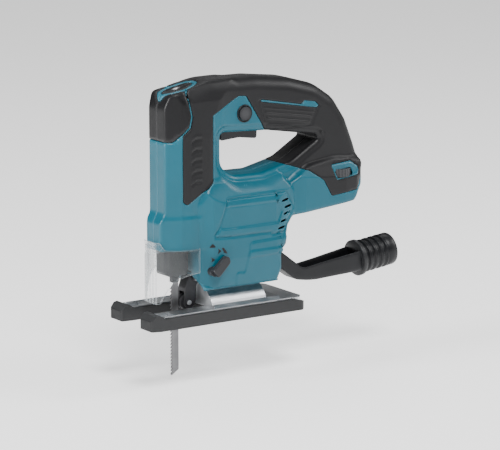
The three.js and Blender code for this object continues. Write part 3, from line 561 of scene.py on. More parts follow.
TEAL = Moulded("teal_nylon", Slot.TEAL, (0.0, 0.088, 0.13), 0.38, specular=0.4)
RUBBER = Rubber("black_elastomer", Slot.RUBBER, (0.0065, 0.0065, 0.0075), 0.48)
CAP_BLACK = Moulded("cap_nylon", Slot.BLACK, (0.006, 0.006, 0.007), 0.4, specular=0.25)
NOZZLE_BLACK = Moulded("nozzle_nylon", Slot.BLACK, (0.007, 0.0075, 0.009), 0.4, specular=0.28)
SHOE_BLACK = Moulded("shoe_nylon", Slot.BLACK, (0.006, 0.0065, 0.0075), 0.45, specular=0.22)
DARK = Moulded("dark_nylon", Slot.DARK, (0.014, 0.015, 0.018), 0.4, specular=0.3)
BLACKENED = Metal("blackened_steel", Slot.STEEL, (0.03, 0.03, 0.033), 0.42, metallic=0.6)
STEEL = Metal("plated_steel", Slot.STEEL, (0.55, 0.56, 0.58), 0.28)
ALLOY = Metal("cast_alloy", Slot.ALLOY, (0.62, 0.64, 0.66), 0.36, scale=900, depth=0.00004)
BLADE_STEEL = Metal("saw_steel", Slot.BLADE, (0.17, 0.17, 0.175), 0.42, stretch=(4, 1, 0.15))
BRONZE = Metal("sintered_bronze", Slot.BRONZE, (0.5, 0.33, 0.17), 0.45)
CORE = Metal("core_steel", Slot.CORE, (0.2, 0.2, 0.21), 0.5, stretch=(8, 0.2, 0.2))
BOARD = Moulded("circuit_board", Slot.BOARD, (0.02, 0.12, 0.05), 0.4)
CLEAR = Clear("clear_polycarbonate", Slot.CLEAR, (0.5, 0.54, 0.56), 0.16)
BADGE = Metal("badge_silver", Slot.ALLOY, (0.75, 0.76, 0.78), 0.25)


# ---- the clamshell ---------------------------------------------------------------------------
@dataclass(frozen=True)
class Lobe:
    """One bulge of the clamshell.

    Attributes:
        outline: what it covers, seen from the side.
        plan: its half width along X.
        front: its half width along Z.
        edge: rounding of its rim.
    """

    outline: Corners
    plan: Knots
    front: Knots
    edge: float

    def half_width(self, at: Array) -> Array:
        """Half the width of the bulge at places seen from the side.

        The lesser of plan and front width, with a quarter round of radius edge at the outline and
        a steep fall outside it.
        """
        plan, front = np.array(self.plan), np.array(self.front)
        wide = np.minimum(np.interp(at[:, 0], plan[:, 0], plan[:, 1]),
                          np.interp(at[:, 1], front[:, 0], front[:, 1]))
        depth = inside(at, rounded(self.outline))
        inward = np.clip(depth, 0, self.edge)
        quarter = np.sqrt(self.edge**2 - (self.edge - inward) ** 2)
        return wide - self.edge + quarter + 2.2 * np.minimum(depth, 0)


@dataclass(frozen=True)
class Clamshell:
    """The two teal half shells, their soft grips and the front cap, as one pair of side surfaces.

    The side surface is a grid: columns run round the outline, rows run from the hand hole's
    middle plane out to the outline's. A place seen from the side lies on the straight line from the
    hole's rim to the outline's point on the same ray from the hole's centre, and its half width is
    the largest of the lobes' half widths, limited by the rounding of the hand hole.
    """

    outline: Corners = (
        (-54, 59.5, 1.5), (-54, 82, 5), (-50, 90, 8), (-50, 176, 14), (-46, 186.5, 4),
        (-27, 190.7, 20), (-8, 196.2, 20), (36, 195.8, 40), (70, 192, 40), (97, 184.5, 30),
        (116, 172, 24), (129, 153, 22), (138, 131, 14), (143.5, 117, 4), (145, 111, 4),
        (145, 101.5, 3), (137, 93, 4), (130, 84.3, 3), (71, 78, 5), (62, 71, 4), (59, 55.5, 3),
        (53.5, 53, 2), (54, 36, 3), (50, 26, 3), (-22, 26, 2), (-22.5, 59.5, 1),
    )
    hole: Corners = (
        (1.6, 152.2, 4), (1.6, 124, 14), (14, 116, 16), (42, 115.5, 20), (72, 122.5, 24),
        (98.5, 138.5, 7), (96, 142.5, 3), (48, 150.2, 20),
    )
    centre: tuple[float, float] = (45, 135)
    hole_edge: float = 5
    hole_wall: float = 12
    outer_edge: float = 11
    edge_rows: int = 10
    split: float = 0.03
    columns: int = 550
    rows: int = 84
    ring: Lobe = Lobe(
        ((-40, 84, 8), (-42, 186, 10), (-8, 196.2, 20), (36, 195.8, 40), (70, 192, 40),
         (97, 184.5, 30), (116, 172, 24), (129, 153, 22), (138, 131, 12), (143, 116, 9),
         (140, 98, 9), (110, 88, 9), (60, 84, 9), (10, 84, 9)),
        ((-60, 17), (150, 17)), ((0, 17), (200, 17)), 11)
    nose: Lobe = Lobe(
        ((-54, 59.5, 1.5), (-54, 82, 4), (-50, 90, 6), (-50, 176, 14), (-46, 186.5, 4),
         (-12, 194.5, 6), (18, 196, 6), (18, 100, 6), (-4, 59.5, 3)),
        ((-54, 9), (-52.5, 10.5), (-43, 16), (-38, 18.6), (-30, 20.2), (-12, 20.4), (0, 18.6),
         (16, 13)),
        ((0, 20.4), (150, 20.4), (180, 19), (196, 14)), 1.6)
    body: Lobe = Lobe(
        ((-22, 26, 2), (50, 26, 3), (54, 36, 3), (53.5, 53, 2), (59, 55.5, 3), (62, 71, 4),
         (70, 80, 6), (69, 100, 10), (56, 118, 8), (20, 124, 12), (-8, 118, 10), (-24, 97, 8),
         (-22.5, 60, 2)),
        ((-24, 20), (-19, 22.4), (-12, 26), (-4, 27.8), (4, 28.5), (48, 28.5), (56, 27), (72, 23)),
        ((0, 26.5), (26, 26.5), (50, 28.5), (92, 28.5), (98, 27.4), (112, 20.5), (124, 10)), 3)
    foot: Lobe = Lobe(
        ((62, 77, 3), (130, 84.3, 3), (137, 93, 4), (145, 101.5, 3), (145, 111, 4), (139, 119, 6),
         (112, 122, 10), (86, 118, 10), (64, 104, 8)),
        ((60, 20), (70, 22.6), (80, 24.8), (120, 26), (132, 25), (139, 21), (146, 11)),
        ((0, 26), (106, 26), (122, 19)), 2.4)

    def half_width(self, at: Array) -> Array:
        """Half the shell's width at places seen from the side."""
        widths = [lobe.half_width(at) for lobe in (self.ring, self.nose, self.body, self.foot)]
        width = widths[0]
        for other in widths[1:]:
            width = smooth_max(width, other, 5)
        clear = np.maximum(-inside(at, rounded(self.hole)), 0)
        inward = np.clip(clear, 0, self.hole_edge)
        limit = self.hole_wall + np.sqrt(self.hole_edge**2 - (self.hole_edge - inward) ** 2)
        limit += 1.3 * np.maximum(clear - self.hole_edge, 0)
        return -smooth_max(-width, -limit, 3)

    def surface(self) -> Skin:
        """The left side's whole surface, from the hand hole's seam to the outer seam."""
        body_weight = lambda p: 1 + 1.0 * smooth_step((112 - p[:, 1]) / 10)
        outer = spaced(rounded(self.outline, 9), body_weight, self.columns)
        hole = spaced(rounded(self.hole, 24), lambda p: np.ones(len(p)), 1600)
        hub = np.array(self.centre)
        turn = np.arctan2(*(hole - hub).T[::-1])
        order = np.argsort(turn)
        reach = np.linalg.norm(hole - hub, axis=1)[order]
        ray = np.arctan2(*(outer - hub).T[::-1])
        rim = np.interp(ray, turn[order], reach, period=2 * np.pi)
        inner = hub + np.stack([np.cos(ray), np.sin(ray)], -1) * rim[:, None]
        length = np.linalg.norm(outer - inner, axis=1)
        swing = np.linspace(0, np.pi / 2, self.edge_rows)
        near = self.hole_edge * (1 - np.cos(swing))[:, None] / length
        far = 1 - self.outer_edge * (1 - np.cos(swing))[::-1, None] / length
        share = np.linspace(0, 1, self.rows)[1:-1, None]
        middle = near[-1] + (far[0] - near[-1]) * share
        along = np.vstack([near, middle, far])
        side = inner + (outer - inner) * along[..., None]
        width = self.half_width(side.reshape(-1, 2)).reshape(along.shape)
        drop = np.linspace(0, 0.94, self.edge_rows)[:, None]
        wall_in = self.split + (width[:1] - self.split) * drop
        wall_out = (self.split + (width[-1:] - self.split) * drop)[::-1]
        width = np.vstack([wall_in, width, wall_out])
        side = np.concatenate([np.repeat(side[:1], len(drop), 0), side,
                               np.repeat(side[-1:], len(drop), 0)])
        points = np.stack([side[..., 0], -width, side[..., 1]], -1)
        return Skin.grid(points, closed=True).facing(ACROSS, LEFT)


@dataclass(frozen=True)
class Camera:
    """The camera, level with the tool's upper half and in front of its left side."""

    place: tuple[float, float, float] = (-1.1904, -1.8116, 0.5150)
    azimuth: float = -34.2
    elevation: float = 11.5
    lens: float = 194.4

    def build(self) -> None:
        """Make the camera and set it as the scene's."""
        turn, rise = np.radians(self.azimuth), np.radians(self.elevation)
        back = Vector((np.sin(turn) * np.cos(rise), -np.cos(turn) * np.cos(rise), np.sin(rise)))
        camera = bpy.data.objects.new("camera", bpy.data.cameras.new("camera"))
        camera.data.lens = self.lens
        camera.data.clip_end = 20
        camera.location = self.place
        camera.rotation_euler = back.to_track_quat("Z", "Y").to_euler()
        bpy.context.scene.collection.objects.link(camera)
        bpy.context.scene.camera = camera


@dataclass(frozen=True)
class Studio:
    """A pale floor, a pale surround and three large soft lamps."""

    floor_z: float = -0.0525
    surround: float = 0.14
    backdrop: float = 2.4
    floor_glow: float = 0.85

    def build(self) -> None:
        """Make the floor, the world and the lamps."""
        floor = Skin.grid(np.stack([*np.meshgrid([-9000, 9000], [-9000, 9000], indexing="ij"),
                                    np.full((2, 2), self.floor_z / MM)], -1))
        mesh = bpy.data.meshes.new("floor")
        mesh.from_pydata((floor.at * MM).tolist(), [], floor.faces.tolist())
        piece = bpy.data.objects.new("floor", mesh)
        n = Nodes("floor_paper")
        n.shader.inputs["Base Color"].default_value = (0.85, 0.85, 0.85, 1)
        n.shader.inputs["Roughness"].default_value = 0.9
        n.shader.inputs["Emission Color"].default_value = (1, 1, 1, 1)
        n.shader.inputs["Emission Strength"].default_value = self.floor_glow
        mesh.materials.append(n.made)
        bpy.context.scene.collection.objects.link(piece)
        world = bpy.data.worlds.new("surround")
        world.use_nodes = True
        tree = world.node_tree
        seen = tree.nodes.new("ShaderNodeLightPath").outputs["Is Camera Ray"]
        level = tree.nodes.new("ShaderNodeMapRange")
        level.inputs["To Min"].default_value = self.surround
        level.inputs["To Max"].default_value = self.backdrop
        tree.links.new(seen, level.inputs["Value"])
        tree.links.new(level.outputs["Result"], tree.nodes["Background"].inputs["Strength"])
        tree.nodes["Background"].inputs["Color"].default_value = (1, 1, 1, 1)
        bpy.context.scene.world = world
        self.lamp("key", (-0.3, -1.0, 1.5), 0.6, 34)
        self.lamp("front", (-1.7, 0.15, 0.6), 0.5, 34)
        self.lamp("rear", (1.2, -0.6, 1.0), 0.5, 12)
        self.lamp("back", (0.4, 0.9, 1.9), 0.8, 8)

    def lamp(self, name: str, place: tuple[float, float, float], size: float, power: float) -> None:
        """A square lamp that faces the tool.

        Args:
            name: its name.
            place: where it is.
            size: its side.
            power: watts.
        """
        data = bpy.data.lights.new(name, "AREA")
        data.size = size
        data.energy = power
        lamp = bpy.data.objects.new(name, data)
        lamp.location = place
        lamp.rotation_euler = (Vector(place) - Vector((0.05, 0, 0.1))).to_track_quat("Z", "Y").to_euler()
        bpy.context.scene.collection.objects.link(lamp)


# ---- the housing's pieces --------------------------------------------------------------------
@dataclass(frozen=True)
class Housing:
    """Dresses the clamshell: which part of it is teal, soft grip or cap, and its surface details."""

    grip: Corners = (
        (-36.9, 153.7, 1), (-36.9, 99.5, 3), (-33.5, 97, 2), (-14.6, 109, 2), (-8.5, 114, 3),
        (-8.5, 168, 1.5), (18.4, 181.5, 3), (25.5, 181, 3), (44, 152, 1), (55, 140, 1), (70, 130, 1),
        (63.6, 121, 1), (85, 114, 4), (98, 105, 4), (106, 91, 1.5), (133, 93.8, 1), (139.6, 105, 2),
        (140.3, 117, 2), (170, 117, 1), (170, 215, 1), (-15, 215, 1), (-31.8, 187.5, 1),
        (-28, 168.6, 2), (-30.2, 159.7, 2),
    )
    cap: Corners = (
        (-70, 148.7, 1), (-44, 148.7, 1), (-31.5, 160.4, 1.5), (-29.3, 168.5, 1.5),
        (-32.8, 187, 1), (-36, 215, 1), (-70, 215, 1),
    )
    inlay: Corners = (
        (40.3, 176.6, 0.8), (80.5, 169.2, 1.5), (83.5, 172.2, 1.5), (94.5, 170.4, 1.5),
        (98.6, 166.5, 1.5), (95.5, 165.2, 1), (40.9, 174.6, 0.8),
    )
    dial_frame: Corners = (
        (107.9, 116.5, 1.5), (127.9, 118.3, 2), (133.8, 113.4, 2), (134.9, 106.4, 2), (110.6, 103.7, 1.5),
    )
    dial_window: Corners = (
        (109.6, 111.2, 1.5), (127.2, 113.2, 1.5), (127.8, 106.2, 1.5), (110.6, 104.6, 1.5),
    )
    pad: Corners = ((37.7, 176.4, 1), (81.1, 169, 2), (96.5, 166, 2), (89.7, 151.3, 2), (47.5, 150, 2))
    label_outer: Corners = (
        (1, 99.6, 2), (59.3, 100.4, 2), (67.8, 87.2, 2), (57.1, 67.2, 2), (44, 66.2, 1),
        (42.5, 68.3, 1), (-12.4, 68.9, 2), (-7.9, 74.7, 2),
    )
    label_inner: Corners = (
        (-0.5, 93.8, 2), (48.6, 93.5, 2), (54.7, 84.8, 2), (50.1, 75.1, 2), (-6.5, 75.2, 2),
    )
    low_band: Corners = ((21.9, 61.5, 2), (62, 62.8, 1), (62, 50.4, 1), (20.4, 49.2, 1))
    low_step: Corners = (
        (21.2, 54.6, 1), (62, 54.9, 1), (62, 24, 1), (9.1, 24, 1), (9.1, 38.1, 2), (17.4, 37.1, 2),
    )
    vents: Knots = ((58.1, 93.1), (61, 87.4), (60.1, 82), (56.6, 76.1), (53.6, 70.5))
    screws: Knots = ((-41, 172), (-45.5, 70), (47, 62), (100, 171), (134, 104))
    collar: float = 0.6
    crown: tuple[float, float, float] = (-30.6, 17.6, 11.8)
    crown_floor: float = 178
    crown_ring: float = 3.6
    badge_size: tuple[float, float, float] = (4.6, 3, 1.2)
    badge_x: float = -31.5
    flank: float = 15
    window_flank: float = 8
    screw_hole: float = 3.5
    bay: tuple[float, float, float, float] = (76, 126, 16, 88)
    well: tuple[float, float, float] = (-14, 7.4, 39.5)
    marks: tuple[Corners, ...] = (
        ((-15.8, 60.9, 0.2), (-13.1, 64.3, 0.2), (-10.2, 61.2, 0.2)),
        ((-9.3, 60.5, 0.2), (-5.7, 57.9, 0.2), (-9.3, 55.1, 0.2), (-8.0, 57.9, 0.2)),
        ((-5.9, 60.6, 0.2), (-3.6, 60.2, 0.2), (0.0, 55.2, 0.2), (-3.4, 56.0, 0.2)),
        ((-14.8, 53.6, 0.2), (-11.1, 51.0, 0.2), (-14.8, 48.4, 0.2), (-13.4, 51.0, 0.2)),
    )
    screen: Corners = ((46, 65, 2), (60, 65, 2), (68.5, 82, 2), (66.5, 98, 2), (50, 98, 2))
    screen_depth: float = 2.6
    arch: float = 36.3
    lip: float = 0.9
    grip_proud: float = 0.3
    cap_proud: float = 0.15
    dish_depth: float = 0.9
    mark_proud: float = 0.25
    wall: float = 1.3

    def vent_outline(self, x: float, z: float) -> Array:
        """A slot with pointed ends, leaning 8 degrees."""
        lean = np.radians(8)
        corner = np.array([(-4.6, -0.6), (-2.5, -1.15), (3, -1.15), (4.8, 0), (3, 1.15), (-2.5, 1.15),
                           (-4.6, 0.6)])
        turn = np.array([[np.cos(lean), np.sin(lean)], [-np.sin(lean), np.cos(lean)]])
        return corner @ turn + (x, z)

    def crown_distance(self, at: Array, inset: float = 0.0) -> Array:
        """Distance inside the oval on the nose's top: (1 - |x / a, y / b|) times b."""
        x, z, half = at[:, 0], at[:, 2], np.abs(at[:, 1])
        middle, long, wide = self.crown
        long, wide = long - inset, wide - inset
        oval = (1 - np.hypot((x - middle) / long, half / wide)) * wide
        return np.where(z > self.crown_floor, oval, -FAR_INSIDE)

    def dish_distance(self, at: Array) -> Array:
        """Distance inside the dish that the crown's ring surrounds."""
        return self.crown_distance(at, self.crown_ring)

    def teal_distance(self, at: Array) -> Array:
        """Distance inside what is neither grip nor cap nor dish."""
        others = [self.grip_distance(at), self.cap_distance(at), self.dish_distance(at)]
        return -np.maximum.reduce(others)

    def grip_distance(self, at: Array) -> Array:
        """Distance inside the soft grip's region, past its inlay, the dial's frame and the crown."""
        side = at[:, [0, 2]]
        within = np.minimum(inside(side, rounded(self.grip)), -self.crown_distance(at))
        for corners in (self.inlay, self.dial_frame):
            within = np.minimum(within, -inside(side, rounded(corners)))
        return within

    def cap_distance(self, at: Array) -> Array:
        """Distance inside the front cap's region, outside the crown."""
        return np.minimum(inside(at[:, [0, 2]], rounded(self.cap)), -self.crown_distance(at))

    def openings(self, skin: Skin, side: int) -> Array:
        """Positive where no opening cuts the shell: vents, screws, battery bay, arm well, arch."""
        at, out = skin.side, -skin.at[:, 1]
        x, z = at.T
        flank, window = out > self.flank, out > self.window_flank
        clear = np.full(len(at), FAR_INSIDE)
        for vent in self.vents:
            slot = -inside(at, self.vent_outline(*vent))
            clear = np.minimum(clear, np.where(flank, slot, FAR_INSIDE))
        if side == RIGHT:
            for screw_x, screw_z in self.screws:
                clear = np.minimum(clear, np.hypot(x - screw_x, z - screw_z) - self.screw_hole)
        else:
            dial = -inside(at, rounded(self.dial_window))
            clear = np.minimum(clear, np.where(window, dial, FAR_INSIDE))
        depth = np.abs(out)
        front, rear, half, ceiling = self.bay
        bay = np.maximum.reduce([front - x, x - rear, depth - half, z - ceiling])
        back, half, top = self.well
        well = np.maximum.reduce([x - back, depth - half, z - top])
        low = np.where(z < 45, np.hypot(depth, z) - self.arch, FAR_INSIDE)
        return np.minimum.reduce([clear, bay, well, low])

    def relief(self, at: Array, width: Array) -> Array:
        """Height of the teal shell's moulded details at places seen from the side.

        A groove is a bell curve of the distance to its line and a step is a smooth ramp across it.
        """
        outer = inside(at, rounded(self.label_outer))
        inner = inside(at, rounded(self.label_inner))
        band = inside(at, rounded(self.low_band))
        step = inside(at, rounded(self.low_step))
        height = -0.95 * np.exp(-((outer / 0.85) ** 2))
        height += 0.35 * smooth_step(outer / 1.2)
        height -= 0.85 * smooth_step(inner / 1.3 + 0.4)
        height += 0.8 * smooth_step(band / 1.2 + 0.5)
        height += 0.6 * smooth_step(step / 1.2 + 0.5)
        height *= smooth_step((width - 22) / 2)
        collar = smooth_step((88.5 - at[:, 1]) / 3.5) * smooth_step((-19 - at[:, 0]) / 6)
        return height + self.collar * collar

    def grip_relief(self, at: Array, width: Array) -> Array:
        """Height of the grip's details: hooked ribs on the tongue and fine ridges on the pad."""
        height = np.zeros(len(at))
        for z in (150.2, 141.8, 133.3, 124.0, 115.2):
            hook = z - 0.55 * np.maximum(0, -25.5 - at[:, 0])
            reach = smooth_step((at[:, 0] + 30.5) / 1.5) * smooth_step((-19.0 - at[:, 0]) / 2)
            fall = at[:, 1] - hook
            groove = np.exp(-((fall / 0.9) ** 2)) - 0.4 * np.exp(-(((fall - 2) / 1.3) ** 2))
            height -= reach * groove
        pad = inside(at, rounded(self.pad))
        height -= 0.55 * np.exp(-((pad / 0.8) ** 2))
        slope = at[:, 1] - 152 + 0.155 * (at[:, 0] - 45)
        ridges = 0.5 + 0.5 * np.cos(2 * np.pi * slope / 4.4)
        height += 0.55 * ridges**3 * smooth_step(pad / 2 - 0.6) * smooth_step((19 - slope) / 3)
        return height * smooth_step((width - 9) / 4)

    def dressed(self, skin: Skin, edge: Array, relief: Array | float) -> Skin:
        """The skin with its details raised and its rim rolled inwards by a quarter round.

        Only what faces sideways carries details: they fade out as the direction's Y falls to 0.15.
        """
        facing = smooth_step((np.abs(skin.data[:, 4]) - 0.15) / 0.35)
        roll = np.clip(edge / self.lip, 0, 1)
        return skin.swelled(relief * facing - self.lip * (1 - np.sqrt(1 - (1 - roll) ** 2)))

    def part(self, shell: Skin, distance: Callable[[Array], Array], side: int) -> Skin:
        """The part of the shell that lies inside a region and in no opening."""
        part = shell.trimmed(distance(shell.at))
        return part.trimmed(self.openings(part, side))

    def skins(self, shell: Skin, side: int) -> tuple[Skin, ...]:
        """One side's teal, grip, cap, dish and vent screen.

        Args:
            shell: the clamshell's left surface.
            side: LEFT or RIGHT.

        Returns:
            The five skins, in that order.
        """
        teal = self.part(shell, self.teal_distance, side)
        teal = self.dressed(teal, 3 * self.teal_distance(teal.at), self.relief(teal.side, -teal.at[:, 1]))
        grip = self.part(shell, self.grip_distance, side)
        ribs = self.grip_relief(grip.side, -grip.at[:, 1])
        grip = self.dressed(grip, self.grip_distance(grip.at), self.grip_proud + ribs)
        cap = self.part(shell, self.cap_distance, side)
        cap = self.dressed(cap, self.cap_distance(cap.at), self.cap_proud)
        dish = shell.trimmed(self.dish_distance(shell.at))
        dish = self.dressed(dish, self.dish_distance(dish.at), -self.dish_depth)
        screen = self.patch(shell, self.screen).swelled(-self.screen_depth)
        made = (teal, grip, cap, dish, screen)
        return made if side == LEFT else tuple(skin.mirrored() for skin in made)

    def patch(self, shell: Skin, outline: Corners) -> Skin:
        """The part of the shell's flank inside an outline seen from the side."""
        within = inside(shell.side, rounded(outline))
        return shell.trimmed(np.minimum(within, -self.flank - shell.at[:, 1]))

    def build(self, shell: Skin) -> None:
        """Make the shells, grips and cap from the clamshell's left surface.

        Args:
            shell: the clamshell's left surface.
        """
        caps, dishes = [], []
        for side, name in ((LEFT, "left"), (RIGHT, "right")):
            teal, grip, cap, dish, screen = self.skins(shell, side)
            if side == LEFT:
                marks = [self.patch(shell, outline) for outline in self.marks]
                print_skin = marks[0].joined(*marks[1:]).swelled(self.mark_proud)
                make_piece("lever_marks", print_skin, "housing", CAP_BLACK, 0.3)
            make_piece("vent_screen_" + name, screen, "housing", CAP_BLACK, 0.6)
            caps.append(cap)
            dishes.append(dish)
            teal = teal.joined(self.underside(side))
            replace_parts(make_piece("shell_" + name, teal, "housing", TEAL, self.wall), "housing_" + name)
            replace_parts(make_piece("soft_grip_" + name, grip, "housing", RUBBER, self.wall), "grip_" + name)
        nose = caps[0].joined(caps[1])
        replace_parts(make_piece("nose_cap", nose, "housing", CAP_BLACK, self.wall), "front_cap")
        make_piece("crown_dish", dishes[0].joined(dishes[1]), "housing", CAP_BLACK, self.wall)
        make_piece("crown_badge", self.badge(), "housing", BADGE)

    def badge(self) -> Skin:
        """A low oval dome on the crown: radius (long, wide) times r, height high (1 - r^4)."""
        long, wide, high = self.badge_size
        r, turn = np.meshgrid(np.linspace(0.0, 1, 14), np.linspace(0, 2 * np.pi, 48, endpoint=False),
                              indexing="ij")
        x = self.badge_x + long * r * np.cos(turn)
        rise = high * (1 - r**4) - 0.1
        crown_slope = (x + 46) * 0.2206 + 186.2
        points = np.stack([x, wide * r * np.sin(turn), crown_slope + rise], -1)
        return Skin.grid(points, closed=True).facing(UP, 1)

    def underside(self, side: int) -> Skin:
        """The round underside over the shoe: an arc about the X axis, carried along X."""
        angle, x = np.meshgrid(np.linspace(0.003, 0.77, 24), np.linspace(-21.6, 51, 30), indexing="ij")
        points = np.stack([x, -self.arch * np.sin(angle), self.arch * np.cos(angle)], -1)
        skin = Skin.grid(points).facing(UP, -1)
        return skin if side == LEFT else skin.mirrored()


def tube(rings: Array) -> Skin:
    """A closed skin from rings of points, its two ends drawn in to their middles and welded.

    Args:
        rings: (rows, columns, 3) places, each row a closed loop.

    Returns:
        The skin, facing outwards.
    """
    shares = np.array([0.0, 0.5, 0.97])[:, None, None]
    first, last = rings[:1].mean(1, keepdims=True), rings[-1:].mean(1, keepdims=True)
    start = first + (rings[:1] - first) * shares
    end = last + (rings[-1:] - last) * shares[::-1]
    return Skin.grid(np.concatenate([start, rings, end]), closed=True).welded()


@dataclass(frozen=True)
class Nozzle:
    """The dust nozzle: a duct with a channel along its top, a flange and a ribbed spigot.

    Attributes:
        bottom: height of the duct's underside along X.
        top: height of its upper rims along X.
        half: half its width along X.
        channel: depth of the channel between the rims along X.
        spigot_at: X and Z of the spigot's root.
        slope: how far the spigot's axis rises, in degrees.
    """

    bottom: Knots
    top: Knots
    half: Knots
    channel: Knots = ((46, 0), (84, 0), (92, 5), (100, 7), (140, 9.5), (149, 9.5), (150, 8))
    spigot_at: tuple[float, float] = (148, 28.3)
    spigot_radius: float = 14.2
    slope: float = 7

    def duct(self) -> Skin:
        """The duct: a rounded box section whose sizes are interpolated along X.

        The section runs from the bottom's middle round one side to the top's middle and back. A
        point's height is bottom + share (top - bottom), less the channel's depth on its floor.
        """
        across = np.array([0, 0.4, 0.7, 0.84, 0.93, 0.985, 1, 1, 1, 1, 1, 0.985, 0.95, 0.9, 0.86, 0.835,
                           0.82, 0.81, 0.78, 0.6, 0.3])
        share = np.array([0, 0, 0, 0.01, 0.04, 0.1, 0.2, 0.4, 0.6, 0.8, 0.93, 0.98, 1, 1, 0.99, 0.96,
                          1, 1, 1, 1, 1])
        deep = np.array([0.0] * 16 + [0.5, 0.85, 1, 1, 1])
        across = np.concatenate([across, [0], -across[:0:-1]])
        share = np.concatenate([share, [1], share[:0:-1]])
        deep = np.concatenate([deep, [1], deep[:0:-1]])
        x = np.linspace(46, 150, 90)[:, None]
        low, high, half, depth = (
            self.smoothed(x, knots) for knots in (self.bottom, self.top, self.half, self.channel))
        return tube(np.stack(np.broadcast_arrays(
            x, half * across, low + (high - low) * share - depth * deep), -1))

    def smoothed(self, x: Array, knots: Knots) -> Array:
        """Knots interpolated along X and averaged over 6 mm."""
        table = np.array(knots)
        spread = np.linspace(-3, 3, 13)
        return np.interp(x[..., None] + spread, table[:, 0], table[:, 1]).mean(-1)

    def spigot(self) -> Skin:
        """The flange and spigot: a profile of radius against distance, turned about its axis.

        The profile comes back inside as the bore. The axis rises by the slope.
        """
        r = self.spigot_radius
        ribs = np.linspace(5.2, 27, 90)
        wave = r - 1.5 + 1.5 * np.clip(0.5 + 0.9 * np.cos(2 * np.pi * (ribs - 8.8) / 6.1), 0, 1)
        profile = np.concatenate([
            [(4, 0.2), (r + 0.8, 0.2), (r + 1.4, 0.8), (r + 1.4, 3.4), (r + 0.8, 4.1), (r - 1, 4.5)],
            np.stack([wave, ribs], -1),
            [(r - 1.2, 27.6), (r - 0.2, 28.6), (r - 0.2, 35.6), (r - 0.6, 36.6), (r - 1.6, 37),
             (r - 2.6, 36.4), (r - 2.9, 35), (r - 3.4, 12), (4, 10)]])
        turn = np.linspace(0, 2 * np.pi, 64, endpoint=False)
        radius, along = profile[:, :1], profile[:, 1:]
        rise = np.radians(self.slope)
        up = radius * np.sin(turn)
        x = self.spigot_at[0] + along * np.cos(rise) - up * np.sin(rise)
        z = self.spigot_at[1] + along * np.sin(rise) + up * np.cos(rise)
        return tube(np.stack([x, radius * np.cos(turn), z], -1))

    def build(self) -> None:
        """Make the nozzle."""
        whole = self.duct().joined(self.spigot())
        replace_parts(make_piece("ribbed_nozzle", whole, "housing", NOZZLE_BLACK), "dust_nozzle")


@dataclass(frozen=True)
class Cover:
    """The clear dust cover: a bent screen round the blade, cut away in a curve below.

    Attributes:
        plan: its path seen from above, from the rear left round the front to the rear right.
        low: height of its lower edge along X.
        high: height of its upper edge along X.
        front: where its front's flutes and knurl begin.
        flute: pitch of the flutes.
        knurl: pitch of the knurl.
    """

    plan: Knots = (
        (-23.5, -22.7), (-34.5, -22.7), (-37.5, -22.4), (-40.5, -21.2), (-45.5, -18.6), (-48, -17),
        (-54.6, -11), (-56.3, -8.4), (-56.7, -6), (-56.7, 0),
    )
    low: Knots = ((-57, 16), (-54.4, 16.4), (-52.4, 22), (-50, 27.5), (-47, 32.5), (-43, 36.6), (-38, 39),
                  (-30, 40.4), (-23, 41))
    high: Knots = ((-57, 67), (-54.6, 67), (-51.5, 61.4), (-50, 61), (-23, 61))
    front: float = -52
    flute: float = 4.4
    knurl: float = 1.9
    wall: float = 1.0

    def build(self) -> None:
        """Make the cover: rows rise from the lower to the upper edge, columns follow the plan.

        The screen swells by a bead along its edges, by upright flutes on its front and by a
        knurl of level ridges at the front's top.
        """
        half = np.array(self.plan, float)
        path = np.vstack([half, half[-2::-1] * [1, -1]])
        length = np.concatenate([[0], np.cumsum(np.linalg.norm(np.diff(path, axis=0), axis=1))])
        at = np.linspace(0, length[-1], 261)
        x, y = (np.interp(at, length, path[:, k]) for k in (0, 1))
        kernel = np.hanning(9) / np.hanning(9).sum()
        x[4:-4], y[4:-4] = np.convolve(x, kernel, "valid"), np.convolve(y, kernel, "valid")
        low, high = (np.interp(x, *np.array(knots).T) for knots in (self.low, self.high))
        share = np.linspace(0, 1, 90)[:, None]
        z = low + (high - low) * share
        points = np.stack(np.broadcast_arrays(x, y, z), -1)
        skin = Skin.grid(points).facing(ALONG, -1)
        x, y, z = skin.at.T
        low, high = (np.interp(x, *np.array(knots).T) for knots in (self.low, self.high))
        edge = np.minimum.reduce([z - low, high - z, self.plan[0][0] - x])
        front = smooth_step((self.front - x) / 2)
        flutes = 0.35 * (1 + np.cos(2 * np.pi * y / self.flute)) * smooth_step((57 - z) / 2)
        knurl = 0.25 * (1 + np.cos(2 * np.pi * z / self.knurl)) * smooth_step((z - 58) / 2)
        bead = 0.5 * np.exp(-(((edge - 1) / 0.9) ** 2))
        screen = skin.swelled((flutes + knurl) * front + bead)
        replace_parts(make_piece("clear_screen", screen, "dust_cover", CLEAR, self.wall), "dust_cover")


